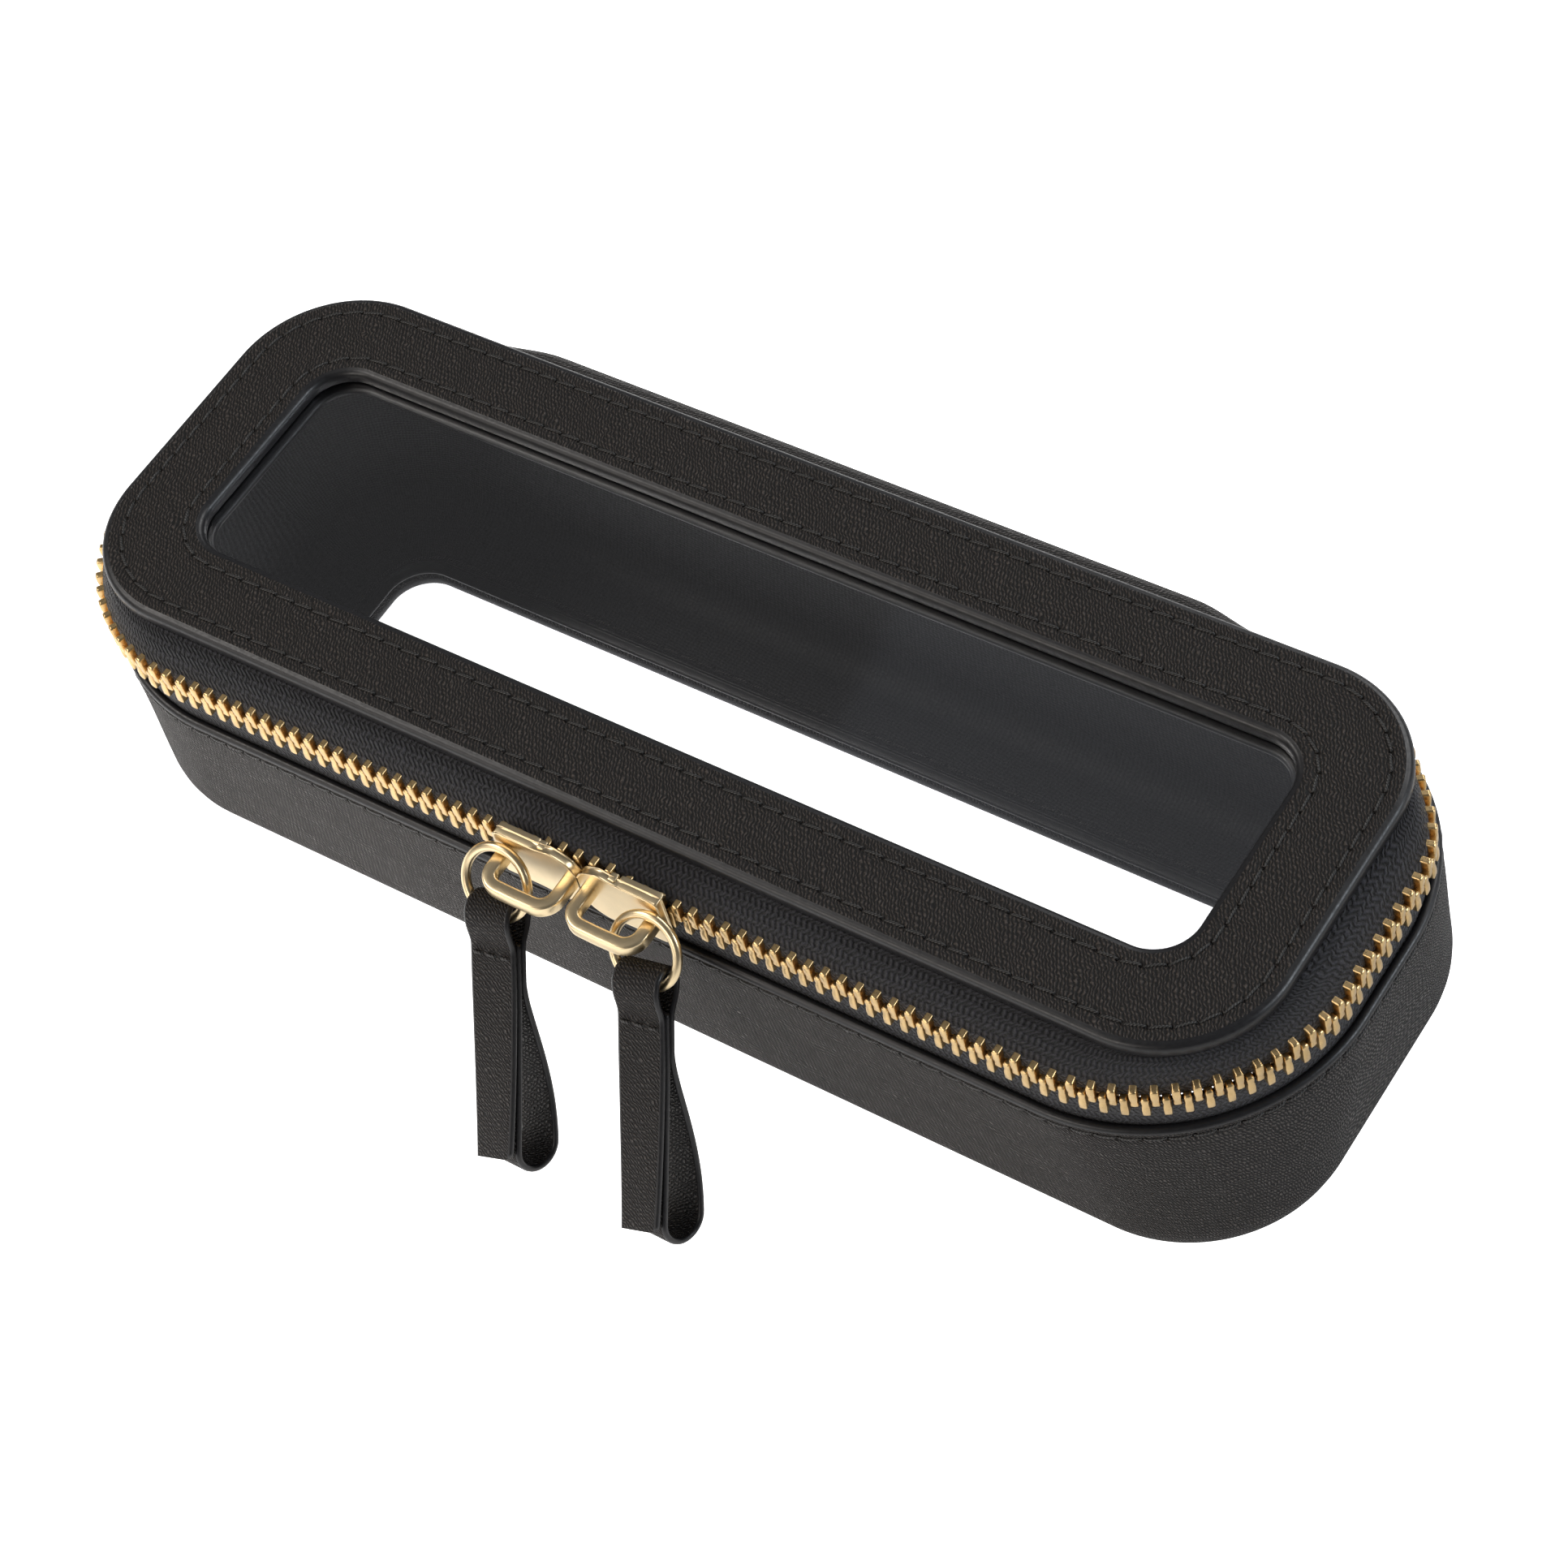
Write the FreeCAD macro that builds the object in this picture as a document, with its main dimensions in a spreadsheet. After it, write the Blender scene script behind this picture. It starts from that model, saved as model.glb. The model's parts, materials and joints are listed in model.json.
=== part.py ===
import FreeCAD
import Part
import Sketcher
import math
import os

# Leather jewellery case with a clear window in its lid and its base.
# Millimetres. +X runs along the case, -Y is the front where the zip sliders rest,
# +Y is the back where the lid hinges, and +Z is up. The case stands on z = 0.
# Every outline is a rounded rectangle, given by how far it grows beyond the lid panel.

V = FreeCAD.Vector

# alias, millimetres (or degrees), what it is
DIMENSIONS = (
    ("panelLength", 180.0, "lid panel along X"),
    ("panelWidth", 60.0, "lid panel along Y"),
    ("panelCorner", 17.0, "corner radius of the lid panel"),
    ("panelThickness", 2.2, "lid panel, leather and its painted edge"),
    ("caseHeight", 47.0, "table to the top of the lid panel"),
    ("edgeRounding", 0.8, "rounding of the painted edges"),
    ("windowLength", 153.0, "clear opening along X"),
    ("windowWidth", 33.7, "clear opening along Y"),
    ("windowCorner", 6.0, "corner radius of the clear opening"),
    ("windowLap", 4.0, "clear sheet held under the leather beyond the opening"),
    ("windowSheet", 0.5, "thickness of the clear sheet"),
    ("sheetGap", 0.2, "board clear of the window sheet's edge"),
    ("boardInset", 2.5, "lid board inside the panel outline"),
    ("lidBoard", 1.2, "thickness of the lid board"),
    ("baseBoard", 1.0, "thickness of the base board"),
    ("liningThickness", 0.6, "thickness of the lining"),
    ("shellThickness", 1.4, "thickness of the base leather"),
    ("footGrow", 3.4, "base outline at the table"),
    ("footCorner", 21.5, "base corner radius at the table"),
    ("footRounding", 8.0, "rounding between wall and underside"),
    ("rimHeight", 32.3, "table to the base rim"),
    ("rimGrow", 5.2, "base outline at the rim"),
    ("rimCorner", 29.5, "base corner radius at the rim"),
    ("seamDepth", 6.0, "tape sewn in below the rim"),
    ("zipHeight", 39.5, "table to the middle of the zip"),
    ("zipGrow", 4.0, "zip outline"),
    ("zipCorner", 26.5, "zip corner radius"),
    ("tapeThickness", 0.6, "woven tape"),
    ("toothPitch", 2.45, "spacing of the teeth on one tape"),
    ("toothReach", 2.6, "zip middle to the back of a tooth"),
    ("toothOverlap", 0.8, "tooth tip beyond the zip middle"),
    ("toothDepth", 2.3, "tooth through the tape"),
    ("toothWidth", 1.1, "tooth along the tape"),
    ("toothRounding", 0.2, "rounding of a tooth"),
    ("partingLift", 1.5, "tooth shift where the sliders hold the zip open"),
    ("partingStart", 7.6, "open stretch, from where the noses meet"),
    ("partingFull", 4.6, "fully open stretch, from where the noses meet"),
    ("gussetHalf", 62.0, "half length of the hinge gusset"),
    ("gussetThickness", 1.0, "leather of the hinge gusset"),
    ("gussetGap", 0.3, "gusset halves, from the hinge height"),
    ("gussetEndGap", 0.15, "gusset end clear of the tape's end"),
    ("hingeOffset", 5.7, "hinge axis behind the panel outline"),
    ("stitchPitch", 3.0, "spacing of the stitches"),
    ("stitchLength", 2.1, "visible thread"),
    ("stitchWidth", 0.5, "thread across"),
    ("stitchHeight", 0.2, "thread above the leather"),
    ("stitchInset", 2.8, "stitch row from its edge"),
    ("rimStitchDrop", 1.8, "stitch row below the rim"),
    ("noseMeeting", 1.3, "where the two slider noses meet along X"),
    ("noseGap", 0.3, "gap between the two noses"),
    ("sliderLength", 12.5, "slider along the zip"),
    ("sliderTail", 4.0, "half height of the slider's tail"),
    ("sliderNose", 4.5, "half height of the slider's nose"),
    ("sliderTip", 1.9, "half height of the flat nose tip"),
    ("frontPlate", 1.2, "front plate of the slider"),
    ("backPlate", 1.0, "back plate of the slider"),
    ("channelHalf", 1.35, "half of the slot that the teeth run in"),
    ("lipHalf", 0.65, "half of the slot that the tape runs in"),
    ("lipHeight", 0.7, "lower lip of the slider"),
    ("lipLength", 5.3, "lower lip, from the slider's tail"),
    ("postHalf", 0.5, "half height of the post between the plates"),
    ("postStart", 2.2, "post, from the slider's middle towards its nose"),
    ("postLength", 2.5, "post along the zip"),
    ("crownLength", 12.0, "crown along the zip"),
    ("crownHole", 4.1, "crown hole out from the front plate"),
    ("crownBand", 1.9, "crown band"),
    ("crownHeight", 2.0, "crown along Z"),
    ("crownCorner", 3.2, "outer corner radius of the crown"),
    ("crownInset", 0.1, "crown's end inside the slider's tail"),
    ("crownRounding", 0.3, "rounding of the crown's edges"),
    ("ringRadius", 4.85, "jump ring to the middle of its wire"),
    ("ringWire", 0.65, "radius of the ring wire"),
    ("ringOut", 2.2, "ring crossing out from the front plate"),
    ("ringDrop", 2.25, "ring centre below the crown's tail limb"),
    ("pullWidth", 7.0, "strap across"),
    ("pullLeather", 1.0, "strap leather"),
    ("tunnelRadius", 1.75, "fold of the strap around the ring"),
    ("pullSewn", 9.0, "end of the sewn stretch below the fold"),
    ("flapEnd", 33.7, "free end of the front flap below the fold"),
    ("loopRadius", 3.6, "outer radius of the strap's bottom loop"),
    ("loopDrop", 32.4, "centre of the bottom loop below the fold"),
    ("pullStitchDrop", 5.3, "strap stitches below the fold"),
    ("pullStitchLength", 1.3, "one strap stitch"),
    ("pullStitchPitch", 2.1, "spacing of the strap stitches"),
    ("pullLean", 33.9, "strap leaning out from the case, degrees"),
    ("pullDrift", 10.4, "strap drifting along +X, degrees"),
)

doc = FreeCAD.newDocument("JewelleryCase")
sheet = doc.addObject("Spreadsheet::Sheet", "Dims")
for row, (alias, value, meaning) in enumerate(DIMENSIONS, start=1):
    sheet.set(f"A{row}", str(value))
    sheet.setAlias(f"A{row}", alias)
    sheet.set(f"B{row}", meaning)
doc.recompute()

PANEL_BASE = "(Dims.caseHeight - Dims.panelThickness)"
LID_BOARD_BASE = f"({PANEL_BASE} - Dims.lidBoard)"
LID_LINING_BASE = f"({LID_BOARD_BASE} - Dims.liningThickness)"
SHELL_INSIDE = "Dims.shellThickness"
BOARD_INSIDE = "(Dims.shellThickness + Dims.baseBoard)"
LINING_INSIDE = "(Dims.shellThickness + Dims.baseBoard + Dims.liningThickness)"
TEETH_TOP = "(Dims.zipHeight + Dims.toothReach)"
TEETH_BOTTOM = "(Dims.zipHeight - Dims.toothReach)"
WALL_CLEARANCE = 0.05  # threads on the sloping wall stay this far off it
FOOT_STEPS = 5  # sections that make up the rounding between wall and underside

parts = []


def number(expression):
    """The value of an expression on the sheet, as a plain number."""
    value = sheet.evalExpression(expression)
    return float(getattr(value, "Value", value))


def dim(alias):
    return number(f"Dims.{alias}")


def keep(piece, label):
    """Name a finished piece and list it for writing."""
    piece.Label = label
    parts.append(piece)
    return piece


# ---------------------------------------------------------------- sketches and bodies


def origin_plane(body, role):
    return next(plane for plane in body.Origin.OriginFeatures if plane.Role == role)


def rounded_rectangle(body, name, level, length, width, corner):
    """A constrained rounded rectangle about the Z axis; every size is an expression."""
    sketch = body.newObject("Sketcher::SketchObject", name)
    sketch.AttachmentSupport = [(origin_plane(body, "XY_Plane"), "")]
    sketch.MapMode = "FlatFace"
    sketch.setExpression("AttachmentOffset.Base.z", level)
    x, y, r = number(length) / 2, number(width) / 2, number(corner)
    sides = (
        (V(r - x, -y), V(x - r, -y)),
        (V(x, r - y), V(x, y - r)),
        (V(x - r, y), V(r - x, y)),
        (V(-x, y - r), V(-x, r - y)),
    )
    centres = (V(x - r, r - y), V(x - r, y - r), V(r - x, y - r), V(r - x, r - y))
    for quarter, (side, centre) in enumerate(zip(sides, centres)):
        start = (quarter - 1) * math.pi / 2
        circle = Part.Circle(centre, V(0, 0, 1), r)
        sketch.addGeometry(Part.LineSegment(*side), False)
        sketch.addGeometry(Part.ArcOfCircle(circle, start, start + math.pi / 2), False)
    for line in (0, 2, 4, 6):
        sketch.addConstraint(Sketcher.Constraint("Tangent", line, 2, line + 1, 1))
        sketch.addConstraint(Sketcher.Constraint("Tangent", line + 1, 2, (line + 2) % 8, 1))
    sketch.addConstraint(Sketcher.Constraint("Horizontal", 0))
    sketch.addConstraint(Sketcher.Constraint("Vertical", 2))
    sketch.addConstraint(Sketcher.Constraint("Horizontal", 4))
    sketch.addConstraint(Sketcher.Constraint("Vertical", 6))
    for arc in (3, 5, 7):
        sketch.addConstraint(Sketcher.Constraint("Equal", 1, arc))
    sketch.addConstraint(Sketcher.Constraint("Symmetric", 1, 3, 5, 3, -1, 1))
    sizes = (
        ("corner", Sketcher.Constraint("Radius", 1, r), corner),
        ("length", Sketcher.Constraint("DistanceX", 6, 1, 2, 1, 2 * x), length),
        ("width", Sketcher.Constraint("DistanceY", 0, 1, 4, 1, 2 * y), width),
    )
    for size, constraint, expression in sizes:
        sketch.renameConstraint(sketch.addConstraint(constraint), size)
        sketch.setExpression(f"Constraints.{size}", expression)
    sketch.Visibility = False
    return sketch


def outline(body, name, level, grow, corner):
    """The lid panel's outline grown outwards, with its own corner radius."""
    length = f"Dims.panelLength + 2 * ({grow})"
    width = f"Dims.panelWidth + 2 * ({grow})"
    return rounded_rectangle(body, name, level, length, width, corner)


def opening(body, name, level, lap):
    """The window opening, made larger all round by lap."""
    length = f"Dims.windowLength + 2 * ({lap})"
    width = f"Dims.windowWidth + 2 * ({lap})"
    return rounded_rectangle(body, name, level, length, width, f"Dims.windowCorner + ({lap})")


def new_body(name):
    return doc.addObject("PartDesign::Body", name)


def pad(body, sketch, length):
    feature = body.newObject("PartDesign::Pad", f"{body.Name}Pad")
    feature.Profile = sketch
    feature.setExpression("Length", length)
    doc.recompute()
    return feature


def cut_through(body, sketch, length):
    """A pocket that runs upwards from its sketch, checked by volume."""
    before = body.Shape.Volume
    feature = body.newObject("PartDesign::Pocket", f"{body.Name}Pocket")
    feature.Profile = sketch
    feature.Reversed = True
    feature.setExpression("Length", length)
    doc.recompute()
    if body.Shape.Volume >= before:
        raise RuntimeError(f"{body.Name}: the pocket removed nothing")
    return feature


def round_edges(body, feature, chosen, radius):
    """Fillet the edges for which chosen(edge) is true."""
    names = [f"Edge{i}" for i, edge in enumerate(feature.Shape.Edges, 1) if chosen(edge)]
    fillet = body.newObject("PartDesign::Fillet", f"{body.Name}Fillet")
    fillet.Base = (feature, names)
    fillet.Radius = number(radius)
    fillet.setExpression("Radius", radius)
    doc.recompute()
    return fillet


def level_edge(height):
    """A test for edges that lie flat at a height."""
    return lambda edge: max(abs(edge.BoundBox.ZMin - height), abs(edge.BoundBox.ZMax - height)) < 1e-4


def frame_plate(label, level, thickness, grow, corner, lap):
    """A flat plate with the window opening in it."""
    body = new_body(label)
    pad(body, outline(body, f"{label}Outline", level, grow, corner), thickness)
    cut_through(body, opening(body, f"{label}Window", level, lap), thickness)
    return body


def loft(body, kind, sections):
    feature = body.newObject(f"PartDesign::{kind}Loft", f"{body.Name}{kind}")
    feature.Profile = sections[0]
    feature.Sections = sections[1:]
    feature.Ruled = True
    doc.recompute()
    return feature


def tub(name, inset):
    """The base as one solid block, shrunk by inset from its outside, up to the rim."""
    body = new_body(name)
    sections = []
    for step in range(FOOT_STEPS + 1):
        turn = f"{90 * step / FOOT_STEPS} deg"
        radius = f"(Dims.footRounding - {inset})"
        level = f"{inset} + {radius} * (1 - cos({turn}))"
        pulled_in = f"{inset} + {radius} * (1 - sin({turn}))"
        grow = f"Dims.footGrow - ({pulled_in})"
        corner = f"Dims.footCorner - ({pulled_in})"
        sections.append(outline(body, f"{name}Foot{step}", level, grow, corner))
    rim_grow = f"Dims.rimGrow - {inset}"
    rim_corner = f"Dims.rimCorner - {inset}"
    sections.append(outline(body, f"{name}Rim", "Dims.rimHeight", rim_grow, rim_corner))
    loft(body, "Additive", sections)
    return body


def band(name, thickness, sections):
    """A closed strip between outlines (level, grow, corner), with its thickness inwards."""
    body = new_body(name)
    outer = []
    inner = []
    for i, (level, grow, corner) in enumerate(sections):
        outer.append(outline(body, f"{name}Outer{i}", level, grow, corner))
        inner_sizes = (f"{grow} - {thickness}", f"{corner} - {thickness}")
        inner.append(outline(body, f"{name}Inner{i}", level, *inner_sizes))
    loft(body, "Additive", outer)
    loft(body, "Subtractive", inner)
    return body


def box(name, low, high):
    """A block between two corners, each given as three expressions."""
    block = doc.addObject("Part::Box", name)
    for size, axis, start, end in zip(("Length", "Width", "Height"), "xyz", low, high):
        block.setExpression(size, f"({end}) - ({start})")
        block.setExpression(f"Placement.Base.{axis}", start)
    doc.recompute()
    return block


def boolean(kind, name, base, tool):
    result = doc.addObject(f"Part::{kind}", name)
    result.Base = base
    result.Tool = tool
    doc.recompute()
    return result


# ---------------------------------------------------------------- points along outlines


def along_outline(distance, half_length, half_width, corner):
    """Point and heading on a rounded rectangle, from the middle of its front, towards +X."""
    run_x = half_length - corner
    run_y = half_width - corner
    bend = corner * math.pi / 2
    stretches = (
        (run_x, None, V(0, -half_width), 0),
        (bend, V(run_x, -run_y), None, 0),
        (2 * run_y, None, V(half_length, -run_y), 90),
        (bend, V(run_x, run_y), None, 90),
        (2 * run_x, None, V(run_x, half_width), 180),
        (bend, V(-run_x, run_y), None, 180),
        (2 * run_y, None, V(-half_length, run_y), 270),
        (bend, V(-run_x, -run_y), None, 270),
        (run_x, None, V(-run_x, -half_width), 0),
    )
    left = distance % (2 * sum(length for length, _, _, _ in stretches[:4]) + 2 * run_x)
    for length, centre, start, heading in stretches:
        if left <= length:
            break
        left -= length
    if centre is None:
        ahead = V(math.cos(math.radians(heading)), math.sin(math.radians(heading)))
        return start + ahead * left, heading
    heading += math.degrees(left / corner)
    outwards = math.radians(heading - 90)
    return centre + V(math.cos(outwards), math.sin(outwards)) * corner, heading


def outline_length(half_length, half_width, corner):
    return 4 * (half_length + half_width - 2 * corner) + 2 * math.pi * corner


def turned_copy(shape, point, heading):
    """A copy of a piece drawn at the origin, moved to a point and turned about Z."""
    copied = shape.copy()
    copied.Placement = FreeCAD.Placement(point, FreeCAD.Rotation(V(0, 0, 1), heading))
    return copied


def feature(name, shape):
    piece = doc.addObject("Part::Feature", name)
    piece.Shape = shape
    return piece


def stitch_row(label, half_length, half_width, corner, level, on_wall):
    """Threads along an outline, lying on a flat face or on an upright wall."""
    long, across, proud = dim("stitchLength"), dim("stitchWidth"), dim("stitchHeight")
    if on_wall:
        thread = Part.makeBox(long, proud, across, V(-long / 2, -proud - WALL_CLEARANCE, -across / 2))
    else:
        thread = Part.makeBox(long, across, proud, V(-long / 2, -across / 2, 0))
    around = outline_length(half_length, half_width, corner)
    count = round(around / dim("stitchPitch"))
    threads = []
    for i in range(count):
        point, heading = along_outline((i + 0.5) * around / count, half_length, half_width, corner)
        threads.append(turned_copy(thread, V(point.x, point.y, level), heading))
    return keep(feature(f"{label}Threads", Part.makeCompound(threads)), label)


# ---------------------------------------------------------------- lid

panel = frame_plate(
    "LidPanel", PANEL_BASE, "Dims.panelThickness", "0", "Dims.panelCorner", "0"
)
round_edges(panel, panel.Tip, level_edge(dim("caseHeight")), "Dims.edgeRounding")
keep(panel, "lid_top_panel")

lid_board = frame_plate(
    "LidBoard", LID_BOARD_BASE, "Dims.lidBoard",
    "0 - Dims.boardInset", "Dims.panelCorner - Dims.boardInset", "Dims.windowLap + Dims.sheetGap",
)
keep(lid_board, "lid_stiffener_board")

lid_lining = frame_plate(
    "LidLining", LID_LINING_BASE, "Dims.liningThickness",
    "0 - Dims.boardInset", "Dims.panelCorner - Dims.boardInset", "0",
)
keep(lid_lining, "lid_lining_frame")

lid_window = new_body("LidWindow")
pad(
    lid_window,
    opening(lid_window, "LidWindowOutline", f"{PANEL_BASE} - Dims.windowSheet", "Dims.windowLap"),
    "Dims.windowSheet",
)
keep(lid_window, "lid_window")

half_length = dim("panelLength") / 2
half_width = dim("panelWidth") / 2
inset = dim("stitchInset")
stitch_row(
    "lid_edge_stitching",
    half_length - inset, half_width - inset, dim("panelCorner") - inset,
    dim("caseHeight"), on_wall=False,
)
window_half_length = dim("windowLength") / 2
window_half_width = dim("windowWidth") / 2
window_row = (window_half_length + inset, window_half_width + inset, dim("windowCorner") + inset)
stitch_row("lid_window_stitching", *window_row, dim("caseHeight"), on_wall=False)

# ---------------------------------------------------------------- base

outside = tub("BaseOutside", "0")
shell_inside = tub("BaseShellInside", SHELL_INSIDE)
tape_inside = tub("BaseTapeInside", "(Dims.shellThickness + Dims.tapeThickness)")
board_inside = tub("BaseBoardInside", BOARD_INSIDE)
lining_inside = tub("BaseLiningInside", LINING_INSIDE)

window_hole = new_body("BaseWindowHole")
pad(
    window_hole,
    opening(window_hole, "BaseWindowHoleOutline", "0 - Dims.shellThickness", "0"),
    "Dims.footRounding",
)

shell_walls = boolean("Cut", "ShellWalls", outside, shell_inside)
keep(boolean("Cut", "BaseShell", shell_walls, window_hole), "base_shell")

SEAM_FOOT = "(Dims.rimHeight - Dims.seamDepth)"
above_seam = box(
    "AboveSeam",
    ("0 - Dims.panelLength", "0 - Dims.panelWidth", SEAM_FOOT),
    ("Dims.panelLength", "Dims.panelWidth", "Dims.caseHeight"),
)
sheet_pocket = new_body("SheetPocket")
pad(
    sheet_pocket,
    opening(sheet_pocket, "SheetPocketOutline", "0", "Dims.windowLap + Dims.sheetGap"),
    "Dims.footRounding",
)
board_walls = boolean("Cut", "BoardWalls", shell_inside, board_inside)
low_board = boolean("Cut", "LowBoard", board_walls, above_seam)
keep(boolean("Cut", "BaseBoard", low_board, sheet_pocket), "base_stiffener_board")

lining_walls = boolean("Cut", "LiningWalls", board_inside, lining_inside)
keep(boolean("Cut", "BaseLining", lining_walls, window_hole), "base_lining")

base_window = new_body("BaseWindow")
pad(
    base_window,
    opening(base_window, "BaseWindowOutline", SHELL_INSIDE, "Dims.windowLap"),
    "Dims.windowSheet",
)
keep(base_window, "base_window")

stitch_row("base_window_stitching", *window_row, number(LINING_INSIDE), on_wall=False)

rim_drop = dim("rimStitchDrop")
rim_share = 1 - rim_drop / dim("rimHeight")
wall_grow = dim("footGrow") + (dim("rimGrow") - dim("footGrow")) * rim_share
wall_corner = dim("footCorner") + (dim("rimCorner") - dim("footCorner")) * rim_share
stitch_row(
    "base_rim_stitching",
    half_length + wall_grow, half_width + wall_grow, wall_corner,
    dim("rimHeight") - rim_drop, on_wall=True,
)

# ---------------------------------------------------------------- zip tapes and hinge gusset

back_gap = box(
    "BackGap",
    ("0 - Dims.gussetHalf", "0", "0"),
    ("Dims.gussetHalf", "Dims.panelWidth", "Dims.caseHeight"),
)
gusset_room = box(
    "GussetRoom",
    ("Dims.gussetEndGap - Dims.gussetHalf", "0", "0"),
    ("Dims.gussetHalf - Dims.gussetEndGap", "Dims.panelWidth", "Dims.caseHeight"),
)
PARTING_LEFT = "Dims.noseMeeting - Dims.partingStart"
PARTING_RIGHT = "Dims.noseMeeting + Dims.partingStart"
upper_notch = box(
    "UpperNotch",
    (PARTING_LEFT, "0 - Dims.panelWidth", "Dims.zipHeight"),
    (PARTING_RIGHT, "0", f"{TEETH_TOP} + 1"),
)
lower_notch = box(
    "LowerNotch",
    (PARTING_LEFT, "0 - Dims.panelWidth", f"{TEETH_BOTTOM} - Dims.partingLift"),
    (PARTING_RIGHT, "0", "Dims.zipHeight"),
)


def zip_section(level, half_thickness):
    """An outline on the zip's own path, moved out by half a thickness."""
    return level, f"(Dims.zipGrow + {half_thickness})", f"(Dims.zipCorner + {half_thickness})"


def panel_section(tuck):
    """An outline on the underside of the lid panel, tucked in from its edge."""
    return PANEL_BASE, f"(0 - {tuck})", f"(Dims.panelCorner - {tuck})"


RIM_SECTION = (
    "Dims.rimHeight",
    "(Dims.rimGrow - Dims.shellThickness)",
    "(Dims.rimCorner - Dims.shellThickness)",
)
sloping = "1.5 * Dims.tapeThickness"
tape_upper = band(
    "TapeUpper", f"({sloping})",
    [zip_section(TEETH_TOP, f"{sloping} / 2"), panel_section("Dims.edgeRounding")],
)
tape_upper = boolean("Cut", "TapeUpperOpen", tape_upper, back_gap)
keep(boolean("Cut", "ZipTapeUpper", tape_upper, upper_notch), "zip_tape_upper")

tape_lower = band(
    "TapeLower", "Dims.tapeThickness",
    [RIM_SECTION, zip_section(TEETH_BOTTOM, "Dims.tapeThickness / 2")],
)
sewn_tape = boolean("Cut", "SewnTapeWalls", shell_inside, tape_inside)
sewn_tape = boolean("Common", "SewnTape", sewn_tape, above_seam)
tape_lower = boolean("Fuse", "TapeLowerWhole", tape_lower, sewn_tape)
tape_lower = boolean("Cut", "TapeLowerOpen", tape_lower, back_gap)
keep(boolean("Cut", "ZipTapeLower", tape_lower, lower_notch), "zip_tape_lower")

gusset_upper = band(
    "GussetUpper", "Dims.gussetThickness",
    [
        zip_section("(Dims.zipHeight + Dims.gussetGap)", "Dims.gussetThickness / 2"),
        panel_section("Dims.edgeRounding"),
    ],
)
keep(boolean("Common", "HingeGussetUpper", gusset_upper, gusset_room), "hinge_gusset_upper")

gusset_lower = band(
    "GussetLower", "Dims.gussetThickness",
    [RIM_SECTION, zip_section("(Dims.zipHeight - Dims.gussetGap)", "Dims.gussetThickness / 2")],
)
sewn_gusset = boolean("Cut", "SewnGussetWalls", shell_inside, board_inside)
sewn_gusset = boolean("Common", "SewnGusset", sewn_gusset, above_seam)
gusset_lower = boolean("Fuse", "GussetLowerWhole", gusset_lower, sewn_gusset)
keep(boolean("Common", "HingeGussetLower", gusset_lower, gusset_room), "hinge_gusset_lower")

# ---------------------------------------------------------------- teeth


def tooth_shape(direction):
    """One tooth; direction is +1 for a tooth on the upper tape, -1 on the lower."""
    tip, root = -dim("toothOverlap"), dim("toothReach")
    low = min(direction * tip, direction * root)
    width, depth = dim("toothWidth"), dim("toothDepth")
    tooth = Part.makeBox(width, depth, root - tip, V(-width / 2, -depth / 2, low))
    upright = [e for e in tooth.Edges if e.BoundBox.ZLength > width]
    return tooth.makeFillet(dim("toothRounding"), upright)


def parting(x):
    """How far the sliders hold a tooth away from the zip middle at x on the front."""
    away = abs(x - dim("noseMeeting"))
    share = (dim("partingStart") - away) / (dim("partingStart") - dim("partingFull"))
    return dim("partingLift") * min(max(share, 0.0), 1.0)


def teeth_row(label, direction, first):
    """All the teeth on one tape, from the front middle round to both ends at the gusset."""
    path = (
        half_length + dim("zipGrow"),
        half_width + dim("zipGrow"),
        dim("zipCorner"),
    )
    end = outline_length(*path) / 2 - dim("gussetHalf") - dim("toothWidth")
    tooth = tooth_shape(direction)
    pitch = dim("toothPitch")
    teeth = []
    steps = int(end / pitch)
    for step in range(-steps, steps):
        point, heading = along_outline((step + first) * pitch, *path)
        lift = direction * parting(point.x) if point.y < 0 else 0
        teeth.append(turned_copy(tooth, V(point.x, point.y, dim("zipHeight") + lift), heading))
    return keep(feature(f"{label}Teeth", Part.makeCompound(teeth)), label)


teeth_row("zip_teeth_upper", 1, 0.25)
teeth_row("zip_teeth_lower", -1, 0.75)

# ---------------------------------------------------------------- sliders and pulls

# A slider is drawn with its middle at the origin, its nose towards +X and its face towards -Y.

SIDES = (("left", -1), ("right", 1))
zip_front = -(half_width + dim("zipGrow"))
plate_face = -(dim("channelHalf") + dim("frontPlate"))
slider_half = dim("sliderLength") / 2


def slider_outline(y, thickness):
    """The plan of a slider plate: straight tail, swelling nose with a flat tip."""
    tail, nose, tip = dim("sliderTail"), dim("sliderNose"), dim("sliderTip")
    stations = (
        (-0.15, tail),
        (0.15, tail + 0.35 * (nose - tail)),
        (0.45, nose),
        (0.8, 0.8 * nose),
        (1.0, tip),
    )
    upper = [V(share * slider_half, y, height) for share, height in stations]
    lower = [V(p.x, y, -p.z) for p in reversed(upper)]
    top_curve = Part.BSplineCurve()
    top_curve.interpolate(upper)
    low_curve = Part.BSplineCurve()
    low_curve.interpolate(lower)
    tail_top = V(-slider_half, y, tail)
    tail_low = V(-slider_half, y, -tail)
    edges = [
        Part.LineSegment(tail_top, upper[0]).toShape(),
        top_curve.toShape(),
        Part.LineSegment(upper[-1], lower[0]).toShape(),
        low_curve.toShape(),
        Part.LineSegment(lower[-1], tail_low).toShape(),
        Part.LineSegment(tail_low, tail_top).toShape(),
    ]
    return Part.Face(Part.Wire(edges)).extrude(V(0, thickness, 0))


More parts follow.
